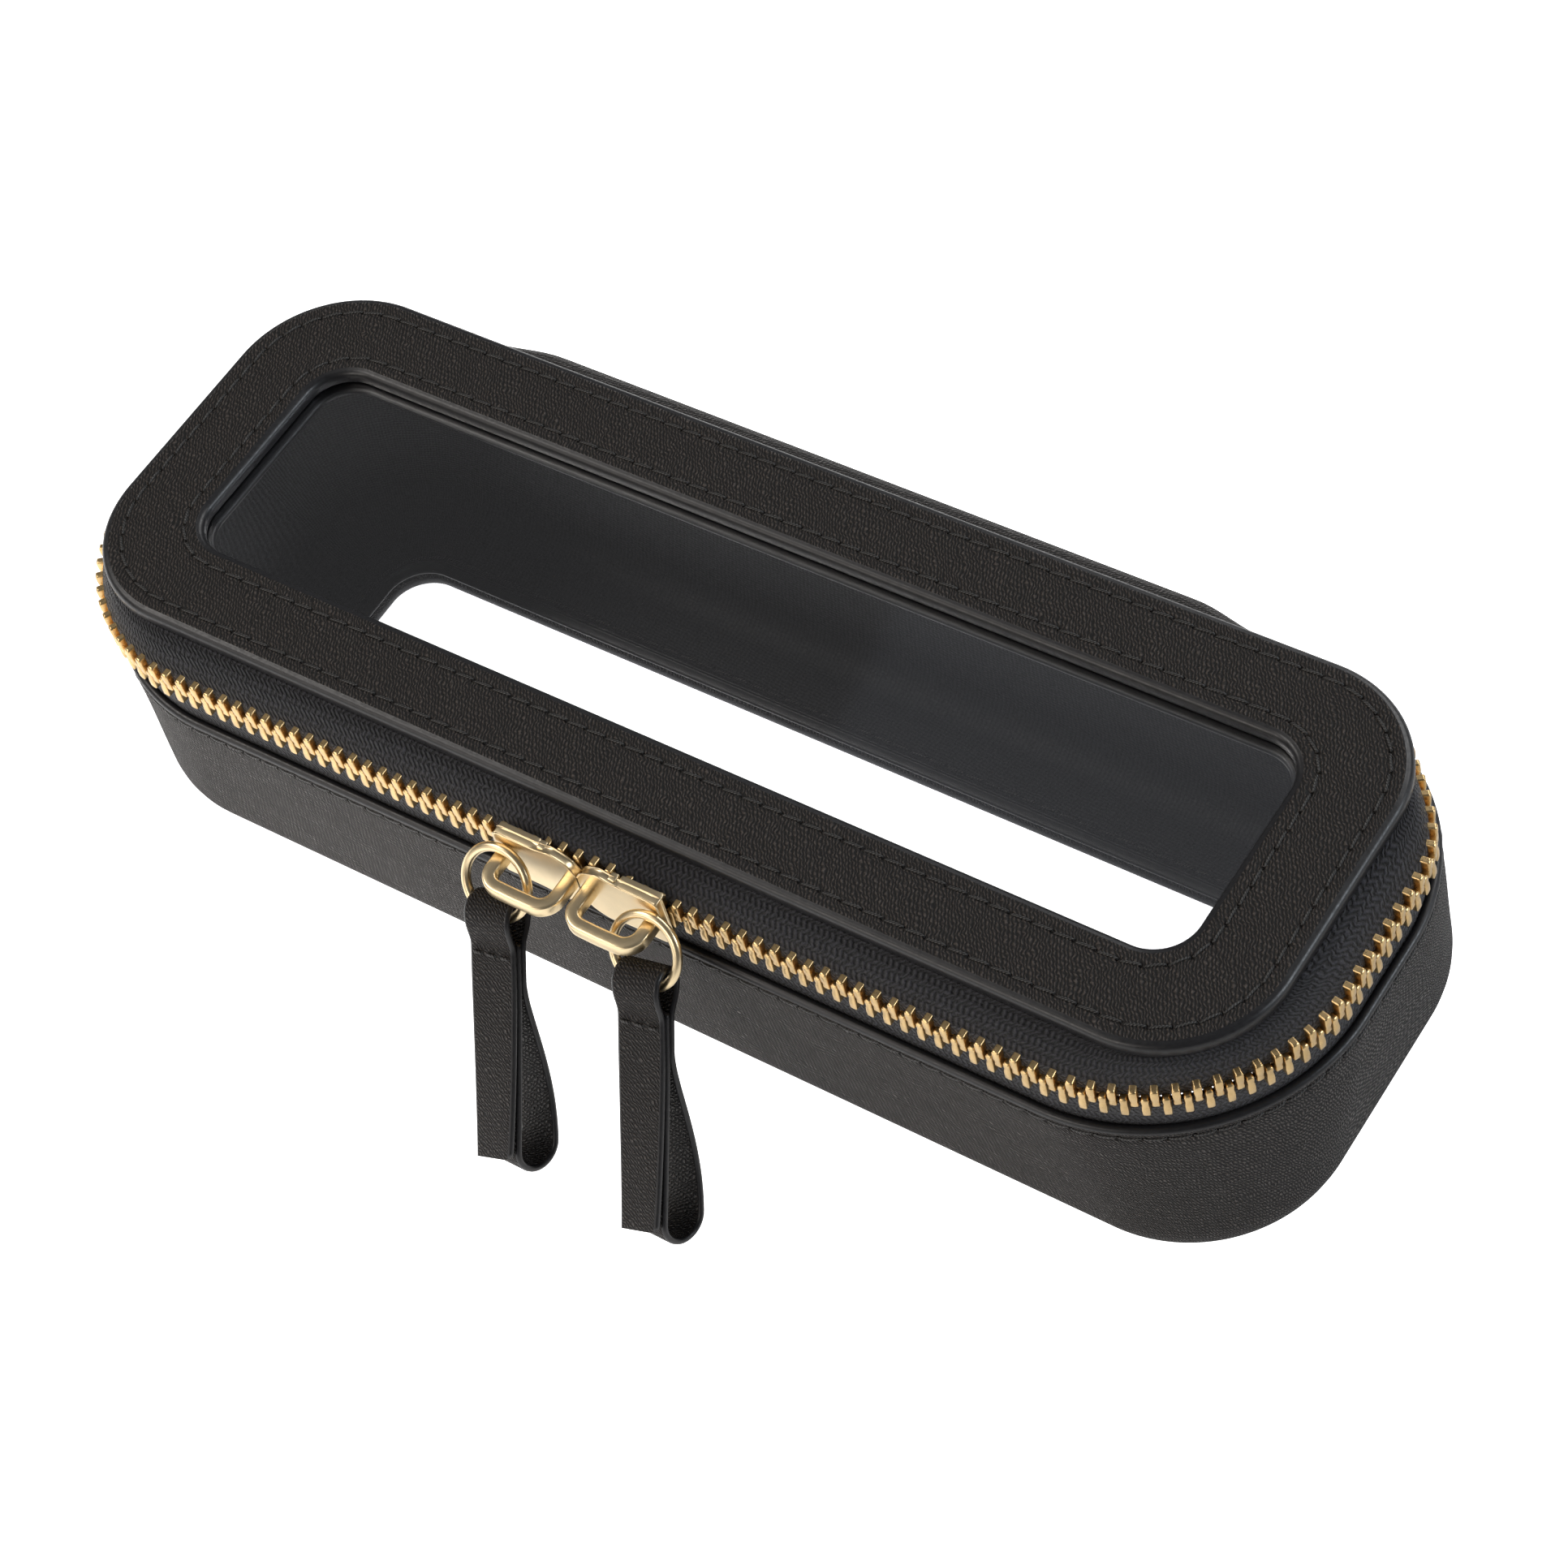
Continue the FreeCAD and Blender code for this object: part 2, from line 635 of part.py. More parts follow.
def slider_body():
    """Two plates joined by a post, with lower lips; the back plate stops short below the lid."""
    channel, lip, long = dim("channelHalf"), dim("lipHalf"), dim("sliderLength")
    front = slider_outline(plate_face, dim("frontPlate"))
    back = slider_outline(channel, dim("backPlate"))
    back = back.cut(Part.makeBox(2 * long, long, long, V(-long, 0, dim("toothReach"))))
    lips = [
        Part.makeBox(
            dim("lipLength"), channel - lip, dim("lipHeight"), V(-slider_half, y, -dim("sliderTail"))
        )
        for y in (-channel, lip)
    ]
    post_half = dim("postHalf")
    post_corner = V(dim("postStart"), -channel, -post_half)
    post = Part.makeBox(dim("postLength"), 2 * channel, 2 * post_half, post_corner)
    return front.fuse([back, *lips, post]).removeSplitter()


def crown():
    """A flat band bent into a loop that stands out from the front plate."""
    long, band_width, tall = dim("crownLength"), dim("crownBand"), dim("crownHeight")
    out = dim("crownHole") + band_width
    start = crown_tail()

    def loop(left, right, reach, radius):
        y = plate_face
        corner = [V(left, y), V(left, y - reach + radius), V(left + radius, y - reach),
                  V(right - radius, y - reach), V(right, y - reach + radius), V(right, y)]
        bend = radius * (1 - math.sqrt(0.5))
        middle_left = V(left + bend, y - reach + bend)
        middle_right = V(right - bend, y - reach + bend)
        edges = [
            Part.LineSegment(corner[0], corner[1]),
            Part.Arc(corner[1], middle_left, corner[2]),
            Part.LineSegment(corner[2], corner[3]),
            Part.Arc(corner[3], middle_right, corner[4]),
            Part.LineSegment(corner[4], corner[5]),
            Part.LineSegment(corner[5], corner[0]),
        ]
        return Part.Face(Part.Wire([edge.toShape() for edge in edges]))

    outer = loop(start, start + long, out, dim("crownCorner"))
    hole_radius = dim("crownCorner") - band_width
    hole = loop(start + band_width, start + long - band_width, out - band_width, hole_radius)
    ring = outer.cut(hole).extrude(V(0, 0, tall))
    ring.translate(V(0, 0, -tall / 2))
    flat = [e for e in ring.Edges if e.BoundBox.ZLength < 1e-6 and e.BoundBox.YMax < plate_face - 0.01]
    return ring.makeFillet(dim("crownRounding"), flat)


def crown_tail():
    """Where the crown starts, at the slider's tail end."""
    return dim("crownInset") - slider_half


def loop_profile(inset):
    """The strap's bottom loop in the YZ plane: straight in front, drop-shaped behind."""
    leather, radius = dim("pullLeather"), dim("loopRadius") - inset
    front = -leather / 2 + inset
    centre = V(0, -leather / 2 + dim("loopRadius"), -dim("loopDrop"))
    top = V(0, 1.5 * leather - 0.9 * inset, -dim("pullSewn") - 2 * inset)
    reach = top - centre
    turn = math.atan2(reach.z, reach.y) - math.acos(radius / reach.Length)
    tangent = centre + V(0, math.cos(turn), math.sin(turn)) * radius
    top_front = V(0, front, top.z)
    side = V(0, front, centre.z)
    edges = [
        Part.LineSegment(top_front, side).toShape(),
        Part.Arc(side, centre - V(0, 0, radius), tangent).toShape(),
        Part.LineSegment(tangent, top).toShape(),
        Part.LineSegment(top, top_front).toShape(),
    ]
    return Part.Face(Part.Wire(edges))


def pull_strap():
    """One strip of leather: front flap, fold over the ring, and a loop behind it."""
    width, leather, bore = dim("pullWidth"), dim("pullLeather"), dim("tunnelRadius")
    along = V(1, 0, 0)
    left = V(-width / 2, 0, 0)
    fold = Part.makeCylinder(bore + leather, width, left, along)
    sewn = Part.makeBox(width, 3 * leather, dim("pullSewn"), V(-width / 2, -1.5 * leather, -dim("pullSewn")))
    flap = Part.makeBox(width, leather, dim("flapEnd"), V(-width / 2, -1.5 * leather, -dim("flapEnd")))
    loop = loop_profile(0).cut(loop_profile(leather)).extrude(along * width)
    loop.translate(left)
    strap = fold.fuse([sewn, flap, loop])
    return strap.cut(Part.makeCylinder(bore, width, left, along)).removeSplitter()


def pull_stitches():
    """Three threads across the front of the strap."""
    long, proud, across = dim("pullStitchLength"), dim("stitchHeight"), dim("stitchWidth")
    threads = []
    for place in (-1, 0, 1):
        left = place * dim("pullStitchPitch") - long / 2
        corner = V(left, -1.5 * dim("pullLeather") - proud, -dim("pullStitchDrop"))
        threads.append(Part.makeBox(long, proud, across, corner))
    return Part.makeCompound(threads)


hang = FreeCAD.Rotation(V(1, 0, 0), -dim("pullLean")) * FreeCAD.Rotation(V(0, 1, 0), -dim("pullDrift"))
down = hang.multVec(V(0, 0, -1))
fold_drop = dim("ringRadius") - math.sqrt(dim("ringRadius") ** 2 - (dim("pullWidth") / 2) ** 2)
pivots = {}

for side_name, side in SIDES:
    middle_x = dim("noseMeeting") + side * (slider_half + dim("noseGap") / 2)
    middle = V(middle_x, zip_front, dim("zipHeight"))
    for label, shape in (("slider_body", slider_body()), ("slider_crown", crown())):
        if side > 0:
            shape = shape.mirror(V(0, 0, 0), V(1, 0, 0))
        piece = feature(f"{side_name}_{label}_shape", shape)
        piece.Placement = FreeCAD.Placement(middle, FreeCAD.Rotation())
        keep(piece, f"{side_name}_{label}")

    limb_x = -side * (crown_tail() + dim("crownBand") / 2)
    limb = middle + V(limb_x, plate_face - dim("ringOut"), 0)
    ring_centre = limb + down * dim("ringDrop")
    fold_centre = ring_centre + down * (dim("ringRadius") - fold_drop / 2)
    ring = doc.addObject("Part::Torus", f"{side_name}_ring_shape")
    ring.setExpression("Radius1", "Dims.ringRadius")
    ring.setExpression("Radius2", "Dims.ringWire")
    ring.Placement = FreeCAD.Placement(ring_centre, hang * FreeCAD.Rotation(V(1, 0, 0), 90))
    keep(ring, f"{side_name}_jump_ring")

    for label, shape in (("pull_strap", pull_strap()), ("pull_stitching", pull_stitches())):
        piece = feature(f"{side_name}_{label}_shape", shape)
        piece.Placement = FreeCAD.Placement(fold_centre, hang)
        keep(piece, f"{side_name}_{label}")
    pivots[side_name] = (limb, fold_centre)

doc.recompute()

# ---------------------------------------------------------------- stand the case on its origin

whole = Part.makeCompound([piece.Shape for piece in parts]).optimalBoundingBox(False)
shift = V(0, -(whole.YMin + whole.YMax) / 2, 0)
for piece in parts:
    piece.Placement = FreeCAD.Placement(shift, FreeCAD.Rotation()) * piece.Placement
doc.recompute()

for piece in doc.Objects:
    if "Invalid" in piece.State or "Error" in piece.State:
        raise RuntimeError(f"{piece.Name} ({piece.Label}) failed: {piece.State}")
for piece in parts:
    if piece.Shape.isNull() or not piece.Shape.isValid():
        raise RuntimeError(f"{piece.Label} has no valid shape")

os.makedirs("parts", exist_ok=True)
for piece in parts:
    piece.Shape.exportStep(f"parts/{piece.Label}.step")
    print(f"{piece.Label:26s} solids {len(piece.Shape.Solids):4d}  volume {piece.Shape.Volume:10.2f}")

print("box", [round(v, 3) for v in (whole.XMin, whole.YMin, whole.ZMin, whole.XMax, whole.YMax, whole.ZMax)])
print("shift", round(shift.y, 4), "hinge y", half_width + dim("hingeOffset") + shift.y)
for side_name, (limb, fold_centre) in pivots.items():
    print(side_name, "limb", tuple(limb + shift), "fold", tuple(fold_centre + shift))
print("pull axis", tuple(hang.multVec(V(1, 0, 0))))
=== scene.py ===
import json
import math

import bmesh
import bpy
import numpy as np
from mathutils import Matrix, Vector
from mathutils.kdtree import KDTree


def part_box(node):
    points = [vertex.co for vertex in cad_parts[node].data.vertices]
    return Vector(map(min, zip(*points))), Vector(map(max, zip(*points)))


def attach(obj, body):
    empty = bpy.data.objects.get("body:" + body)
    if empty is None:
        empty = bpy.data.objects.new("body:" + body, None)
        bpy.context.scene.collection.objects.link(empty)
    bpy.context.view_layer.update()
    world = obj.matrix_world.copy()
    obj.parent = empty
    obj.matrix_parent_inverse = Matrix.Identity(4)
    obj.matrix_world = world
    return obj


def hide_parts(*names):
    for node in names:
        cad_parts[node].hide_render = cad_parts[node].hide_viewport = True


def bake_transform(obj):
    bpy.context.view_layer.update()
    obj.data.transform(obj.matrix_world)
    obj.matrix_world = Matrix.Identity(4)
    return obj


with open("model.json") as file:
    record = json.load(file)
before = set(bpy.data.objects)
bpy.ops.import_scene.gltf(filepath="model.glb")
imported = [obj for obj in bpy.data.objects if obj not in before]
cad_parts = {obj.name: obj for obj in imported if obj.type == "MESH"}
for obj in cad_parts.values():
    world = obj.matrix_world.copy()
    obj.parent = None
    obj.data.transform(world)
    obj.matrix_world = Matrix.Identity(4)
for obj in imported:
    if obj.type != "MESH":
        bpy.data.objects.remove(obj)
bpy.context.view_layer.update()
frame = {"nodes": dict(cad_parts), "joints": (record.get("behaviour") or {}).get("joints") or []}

# Lengths are in millimetres, and mesh_object turns them into metres. Lights and camera are in metres.
MM = 0.001

# ---------------------------------------------------------------- places read from the frame


def box_mm(node):
    low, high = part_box(node)
    return np.array(low) / MM, np.array(high) / MM


panel_low, panel_high = box_mm("lid_top_panel")
sheet_low, sheet_high = box_mm("lid_window")
_, shell_high = box_mm("base_shell")
middle_y = (panel_low[1] + panel_high[1]) / 2
panel_half_x = panel_high[0]
panel_half_y = (panel_high[1] - panel_low[1]) / 2
panel_top = panel_high[2]
panel_base = panel_low[2]
rim_z = shell_high[2]
rim_grow = shell_high[0] - panel_half_x

SHEET_LAP = 4.0
window_half_x = sheet_high[0] - SHEET_LAP
window_half_y = (sheet_high[1] - sheet_low[1]) / 2 - SHEET_LAP

joints = {joint["name"]: joint for joint in frame["joints"]}
hinge_y, hinge_z = (value / MM for value in joints["lid_hinge"]["pos_m"][1:])

# corner radii, and how far each outline grows beyond the lid panel
PANEL_CORNER = 17.0
WINDOW_CORNER = 6.0
FOOT_GROW, FOOT_CORNER, FOOT_ROUNDING = 3.4, 21.5, 8.0
RIM_CORNER = 29.5
ZIP_GROW, ZIP_CORNER = 4.0, 26.5
ZIP_Z = hinge_z
SHELL = 1.4
LINING_INSIDE = 3.0
GUSSET_HALF = 62.0
TOOTH_PITCH, TOOTH_REACH = 2.45, 2.6
PARTING_LIFT, PARTING_START, PARTING_FULL = 1.5, 7.6, 4.6
STITCH_PITCH, STITCH_INSET, RIM_STITCH_DROP = 3.0, 2.8, 1.8
THREAD_RADIUS = 0.23

# ---------------------------------------------------------------- meshes


def mesh_object(name, vertices, faces, uvs=None, materials=(), slots=None, outwards=True):
    """A smooth mesh from millimetre vertices; slots gives each face's material."""
    mesh = bpy.data.meshes.new(name)
    mesh.from_pydata((np.asarray(vertices, float) * MM).tolist(), [], faces)
    if uvs is not None:
        layer = mesh.uv_layers.new(name="surface")
        layer.data.foreach_set("uv", np.asarray(uvs, np.float32).ravel())
    for material in materials:
        mesh.materials.append(material)
    if slots is not None:
        mesh.polygons.foreach_set("material_index", slots)
    mesh.polygons.foreach_set("use_smooth", [True] * len(mesh.polygons))
    if outwards:
        shell = bmesh.new()
        shell.from_mesh(mesh)
        bmesh.ops.recalc_face_normals(shell, faces=shell.faces)
        shell.to_mesh(mesh)
        shell.free()
    mesh.update()
    piece = bpy.data.objects.new(name, mesh)
    bpy.context.scene.collection.objects.link(piece)
    return piece


def skin(name, rings, materials, row_slots=None, around=True, section=True, plan=False, across=None):
    """A surface over rings[row][column]. around closes it along columns, section along rows.
    The surface coordinates are x and y when plan is set, else the distances along and across."""
    rings = np.asarray(rings, float)
    rows, columns = rings.shape[:2]
    index = np.arange(rows * columns).reshape(rows, columns)
    row_pairs = [(r, (r + 1) % rows) for r in range(rows if section else rows - 1)]
    column_pairs = [(c, (c + 1) % columns) for c in range(columns if around else columns - 1)]
    longest = rings[np.argmax(np.ptp(rings[:, :, 0], axis=1))]
    along = np.r_[0, np.cumsum(np.linalg.norm(np.diff(longest, axis=0, append=longest[:1]), axis=1))]
    if across is None:
        middle = rings[:, columns // 2]
        across = np.r_[0, np.cumsum(np.linalg.norm(np.diff(middle, axis=0, append=middle[:1]), axis=1))]
    faces, uvs, slots = [], [], []
    for r, r2 in row_pairs:
        for c, c2 in column_pairs:
            faces.append((index[r, c], index[r, c2], index[r2, c2], index[r2, c]))
            if plan:
                uvs += [rings[r, c, :2], rings[r, c2, :2], rings[r2, c2, :2], rings[r2, c, :2]]
            else:
                low, high = (along[c], along[c + 1])
                start, end = (across[r], across[r + 1])
                uvs += [(low, start), (high, start), (high, end), (low, end)]
            slots.append(row_slots[r] if row_slots else 0)
    if section and not around:
        for c, step in ((0, 1), (columns - 1, -1)):
            faces.append(tuple(index[::step, c]))
            uvs += [(0.0, 0.0)] * rows
            slots.append(row_slots[0] if row_slots else 0)
    faces = [tuple(int(i) for i in face) for face in faces]
    return mesh_object(name, rings.reshape(-1, 3), faces, uvs, materials, slots)


class Gather:
    """Many small closed bodies joined into one mesh."""

    def __init__(self):
        self.vertices, self.faces, self.uvs, self.count = [], [], [], 0

    def loft(self, rings):
        """Rings of equal count, closed around, with a cap at each end."""
        rings = np.asarray(rings, float)
        flat_ends = [ring.mean(0) + (ring - ring.mean(0)) * 0.94 for ring in (rings[0], rings[-1])]
        rings = np.concatenate([flat_ends[:1], rings, flat_ends[1:]])
        rows, sides = rings.shape[:2]
        base = self.count
        self.vertices.append(rings.reshape(-1, 3))
        self.count += rows * sides
        lengths = np.r_[0, np.cumsum(np.linalg.norm(np.diff(rings.mean(1), axis=0), axis=1))]
        for r in range(rows - 1):
            for s in range(sides):
                t = (s + 1) % sides
                low, high = base + r * sides, base + (r + 1) * sides
                self.faces.append((low + s, low + t, high + t, high + s))
                u, v = s / sides, (s + 1) / sides
                self.uvs += [(lengths[r], u), (lengths[r], v), (lengths[r + 1], v), (lengths[r + 1], u)]
        self.faces.append(tuple(base + s for s in range(sides))[::-1])
        self.faces.append(tuple(base + (rows - 1) * sides + s for s in range(sides)))
        self.uvs += [(0.0, 0.0)] * (2 * sides)

    def piece(self, name, material):
        return mesh_object(name, np.concatenate(self.vertices), self.faces, self.uvs, [material])


def outline(half_x, half_y, corner, counts, gap=None):
    """Points and outward normals of a rounded rectangle, counter-clockwise from the middle of
    the back. With a gap, the line is open and its ends are at -gap and +gap on the back."""
    long, short, bend = counts
    run_x, run_y = half_x - corner, half_y - corner
    start = 0.0 if gap is None else gap
    sides = (
        ((-start, half_y), (-run_x, half_y), 90, long // 2),
        ((-run_x, run_y), None, 90, bend),
        ((-half_x, run_y), (-half_x, -run_y), 180, short),
        ((-run_x, -run_y), None, 180, bend),
        ((-run_x, -half_y), (run_x, -half_y), 270, long),
        ((run_x, -run_y), None, 270, bend),
        ((half_x, -run_y), (half_x, run_y), 0, short),
        ((run_x, run_y), None, 0, bend),
        ((run_x, half_y), (start, half_y), 90, long // 2),
    )
    points, normals = [], []
    for first, last, heading, count in sides:
        share = np.arange(count)[:, None] / count
        if last is None:
            angle = np.radians(heading + 90 * share[:, 0])
            normal = np.stack([np.cos(angle), np.sin(angle)], 1)
            points.append(np.array(first) + corner * normal)
        else:
            angle = math.radians(heading)
            normal = np.tile((math.cos(angle), math.sin(angle)), (count, 1))
            points.append(np.array(first) * (1 - share) + np.array(last) * share)
        normals.append(normal)
    if gap is not None:
        points.append(np.array([(start, half_y)]))
        normals.append(np.array([(0.0, 1.0)]))
    points = np.concatenate(points)
    return points + (0.0, middle_y), np.concatenate(normals)


def ring_at(size, z, counts, gap=None):
    points, _ = outline(*size, counts, gap)
    return np.column_stack([points, np.broadcast_to(z, len(points))])


def panel_size(inset):
    return panel_half_x - inset, panel_half_y - inset, PANEL_CORNER - inset


def window_size(grow):
    return window_half_x + grow, window_half_y + grow, WINDOW_CORNER + grow


def grown(grow, corner):
    return panel_half_x + grow, panel_half_y + grow, corner


class Profile:
    """The rings of one surface in order, each with its material slot."""

    def __init__(self, counts):
        self.counts, self.rings, self.slots = counts, [], []

    def add(self, size, z, slot=0):
        self.rings.append(ring_at(size, z, self.counts))
        self.slots.append(slot)


def between(first, second, share):
    return tuple(a + (b - a) * share for a, b in zip(first, second))


def outline_points(size, count, phase=0.0):
    """Evenly spaced points along an outline with their outward normals."""
    points, normals = outline(*size, (400, 120, 60))
    closed = np.vstack([points, points[:1]])
    lengths = np.r_[0, np.cumsum(np.linalg.norm(np.diff(closed, axis=0), axis=1))]
    wanted = (np.arange(count) + phase) / count * lengths[-1]
    turned = np.vstack([normals, normals[:1]])
    place = np.stack([np.interp(wanted, lengths, closed[:, k]) for k in (0, 1)], 1)
    facing = np.stack([np.interp(wanted, lengths, turned[:, k]) for k in (0, 1)], 1)
    return place, facing / np.linalg.norm(facing, axis=1)[:, None]


def outline_length(size):
    half_x, half_y, corner = size
    return 4 * (half_x + half_y - 2 * corner) + 2 * math.pi * corner


# ---------------------------------------------------------------- stitching

THREAD_SIDES = 8
SLANT = 0.12


def thread_row(gather, holes, facing, up_of):
    """A slanted thread from each hole to the next. up_of(normal) gives the way out of the leather."""
    count = len(holes)
    for i in range(count):
        start, end = holes[i], holes[(i + 1) % count]
        along = end - start
        reach = np.linalg.norm(along)
        along /= reach
        up = up_of(facing[i])
        side = np.cross(up, along)
        rings = []
        for share in np.linspace(0.04, 0.96, 9):
            lift = THREAD_RADIUS * (1.5 * math.sin(math.pi * share) ** 0.35 - 1.25)
            offset = SLANT * (2 * share - 1)
            radius = THREAD_RADIUS * (0.75 + 0.25 * math.sin(math.pi * share))
            centre = start + along * reach * share + up * lift + side * offset
            angles = np.arange(THREAD_SIDES) * 2 * math.pi / THREAD_SIDES
            rings.append([centre + radius * (math.cos(a) * side + 0.8 * math.sin(a) * up) for a in angles])
        gather.loft(rings)


def tree_of(points):
    tree = KDTree(len(points))
    for i, point in enumerate(points):
        tree.insert(Vector(point), i)
    tree.balance()
    return tree


def smooth_step(share):
    share = np.clip(share, 0, 1)
    return share * share * (3 - 2 * share)


def needle_dips(points, tree, depth=0.42, radius=0.34):
    """How far the leather is drawn in round each needle hole."""
    return np.array([depth * math.exp(-((tree.find(Vector(p))[2] / radius) ** 2)) for p in points])


def stitch_holes(size, level):
    count = round(outline_length(size) / STITCH_PITCH)
    points, facing = outline_points(size, count)
    level = np.broadcast_to(level, count)
    return np.column_stack([points, level]), facing


# ---------------------------------------------------------------- materials


def new_material(name):
    material = bpy.data.materials.new(name)
    material.use_nodes = True
    tree = material.node_tree
    return material, tree, tree.nodes["Principled BSDF"]


def node(tree, kind, inputs=(), **settings):
    made = tree.nodes.new(kind)
    for key, value in settings.items():
        setattr(made, key, value)
    for key, value in dict(inputs).items():
        if isinstance(value, bpy.types.NodeSocket):
            tree.links.new(value, made.inputs[key])
        else:
            made.inputs[key].default_value = value
    return made


def sums(tree, operation, first, second=0.0, third=0.0):
    return node(tree, "ShaderNodeMath", {0: first, 1: second, 2: third}, operation=operation).outputs[0]


def surface(tree):
    return node(tree, "ShaderNodeUVMap", uv_map="surface").outputs[0]


def noise(tree, vector, scale, detail=2.0, rough=0.5):
    inputs = {"Vector": vector, "Scale": scale, "Detail": detail, "Roughness": rough}
    return node(tree, "ShaderNodeTexNoise", inputs).outputs[0]


def spread(tree, value, low, high, out_low=0.0, out_high=1.0):
    inputs = {0: value, 1: low, 2: high, 3: out_low, 4: out_high}
    return node(tree, "ShaderNodeMapRange", inputs).outputs[0]


def blend_colour(tree, share, first, second):
    made = node(tree, "ShaderNodeMix", data_type="RGBA")
    for key, value in ((0, share), (6, first), (7, second)):
        if isinstance(value, bpy.types.NodeSocket):
            tree.links.new(value, made.inputs[key])
        else:
            made.inputs[key].default_value = value
    return made.outputs[2]


def bump(tree, height, distance, strength=1.0):
    inputs = {"Height": height, "Distance": distance * MM, "Strength": strength}
    return node(tree, "ShaderNodeBump", inputs).outputs[0]


def wave(tree, value, pitch):
    """A sine that repeats every pitch millimetres."""
    return sums(tree, "SINE", sums(tree, "MULTIPLY", value, 2 * math.pi / pitch))


def dress(tree, shader, colour, roughness, height, relief):
    """Link the shader's colour and roughness, and a bump that is relief millimetres deep."""
    tree.links.new(colour, shader.inputs["Base Color"])
    tree.links.new(roughness, shader.inputs["Roughness"])
    tree.links.new(bump(tree, height, relief), shader.inputs["Normal"])


def grain_axes(tree, turn, warp):
    """The two surface coordinates in millimetres, turned a little and gently warped."""
    place = surface(tree)
    inputs = {"Vector": place, "Rotation": (0.0, 0.0, math.radians(turn))}
    turned = node(tree, "ShaderNodeMapping", inputs).outputs[0]
    parts = node(tree, "ShaderNodeSeparateXYZ", {0: turned})
    drift = spread(tree, noise(tree, place, 0.16), 0.3, 0.7, -warp, warp)
    shiver = spread(tree, noise(tree, place, 1.1), 0.3, 0.7, -0.12, 0.12)
    down = sums(tree, "ADD", sums(tree, "ADD", parts.outputs[1], drift), shiver)
    return place, sums(tree, "ADD", parts.outputs[0], shiver), down


DASH_PITCH, DASH_ROW, DASH_SLANT = 0.58, 0.7, 0.85


def saffiano(name, dark, light, turn=9.0, relief=0.3, gloss=(0.68, 0.27)):
    """Cross-grained leather: rows of small slanted dashes pressed into a finished hide. The dashes are real
    relief, and their colour follows it: darker in the hollows as painted shade, lighter on the dash tops as
    painted highlight, with random patches and grit over both.
    """
    material, tree, shader = new_material(name)
    place, along, down = grain_axes(tree, turn, 0.55)
    slanted = sums(tree, "MULTIPLY_ADD", down, DASH_SLANT, along)
    dash = wave(tree, slanted, DASH_PITCH)
    row = wave(tree, down, DASH_ROW)
    ridge = spread(tree, dash, -0.8, 0.9)
    width = spread(tree, row, -0.9, 0.5, 0.3, 1.0)
    patch = spread(tree, noise(tree, place, 0.35, 3.0), 0.3, 0.7, 0.7, 1.15)
    grit = spread(tree, noise(tree, place, 3.6, 3.0, 0.7), 0.3, 0.7, 0.6, 1.3)
    lifted = sums(tree, "POWER", sums(tree, "MULTIPLY", ridge, width), 1.4)
    height = sums(tree, "MULTIPLY", lifted, sums(tree, "MULTIPLY", patch, grit))
    # painted shade and highlight: the first colour fills the grain's hollows, the second colours its raised
    # tops
    colour = blend_colour(tree, height, dark, light)
    dress(tree, shader, colour, spread(tree, height, 0.1, 1.1, *gloss), height, relief)
    shader.inputs["Specular IOR Level"].default_value = 0.34
    return material


def edge_paint(name, colour, roughness=0.34):
    """The rubbery paint that seals a cut leather edge."""
    material, tree, shader = new_material(name)
    place = node(tree, "ShaderNodeTexCoord").outputs["Object"]
    soft = noise(tree, place, 260.0, 3.0)
    fine = noise(tree, place, 2200.0, 2.0)
    lighter = tuple(1.8 * value for value in colour[:3]) + (1.0,)
    shine = spread(tree, fine, 0.3, 0.7, roughness - 0.05, roughness + 0.1)
    height = sums(tree, "MULTIPLY_ADD", soft, 1.0, sums(tree, "MULTIPLY", fine, 0.25))
    dress(tree, shader, blend_colour(tree, soft, colour, lighter), shine, height, 0.05)
    return material


def herringbone(name, dark, light, relief=0.5):
    """Woven zip tape: short slanted threads that change direction in bands. The colour follows the relief:
    lighter on the raised threads as painted highlight, darker between them as painted shade, with random
    fuzz over both.
    """
    material, tree, shader = new_material(name)
    place = surface(tree)
    parts = node(tree, "ShaderNodeSeparateXYZ", {0: place})
    wobble = spread(tree, noise(tree, place, 1.3), 0.3, 0.7, -0.14, 0.14)
    down = sums(tree, "ADD", parts.outputs[1], wobble)
    along = sums(tree, "ADD", parts.outputs[0], wobble)
    bands = sums(tree, "PINGPONG", down, 0.7)
    slant = sums(tree, "MULTIPLY_ADD", bands, 0.9, along)
    thread = wave(tree, slant, 0.8)
    ribs = wave(tree, down, 0.7)
    fuzz = noise(tree, place, 4.0, 4.0, 0.7)
    height = sums(tree, "MULTIPLY_ADD", thread, 0.34, sums(tree, "MULTIPLY", ribs, 0.16))
    height = sums(tree, "ADD", height, fuzz)
    # painted shade and highlight: darker between the threads, lighter on the raised threads
    colour = blend_colour(tree, spread(tree, height, 0.3, 1.0), dark, light)
    dress(tree, shader, colour, spread(tree, fuzz, 0.35, 0.7, 0.62, 0.38), height, relief)
    shader.inputs["Sheen Weight"].default_value = 0.12
    shader.inputs["Sheen Roughness"].default_value = 0.4
    return material


def twine(name, dark, light):
    """Two-ply sewing thread."""
    material, tree, shader = new_material(name)
    parts = node(tree, "ShaderNodeSeparateXYZ", {0: surface(tree)})
    turns = sums(tree, "MULTIPLY_ADD", parts.outputs[0], 2.2, sums(tree, "MULTIPLY", parts.outputs[1], 2.0))
    ply = wave(tree, turns, 1.0)
    share = spread(tree, ply, -1.0, 1.0)
    colour = blend_colour(tree, share, dark, light)
    dress(tree, shader, colour, spread(tree, share, 0.0, 1.0, 0.5, 0.32), share, 0.05)
    return material


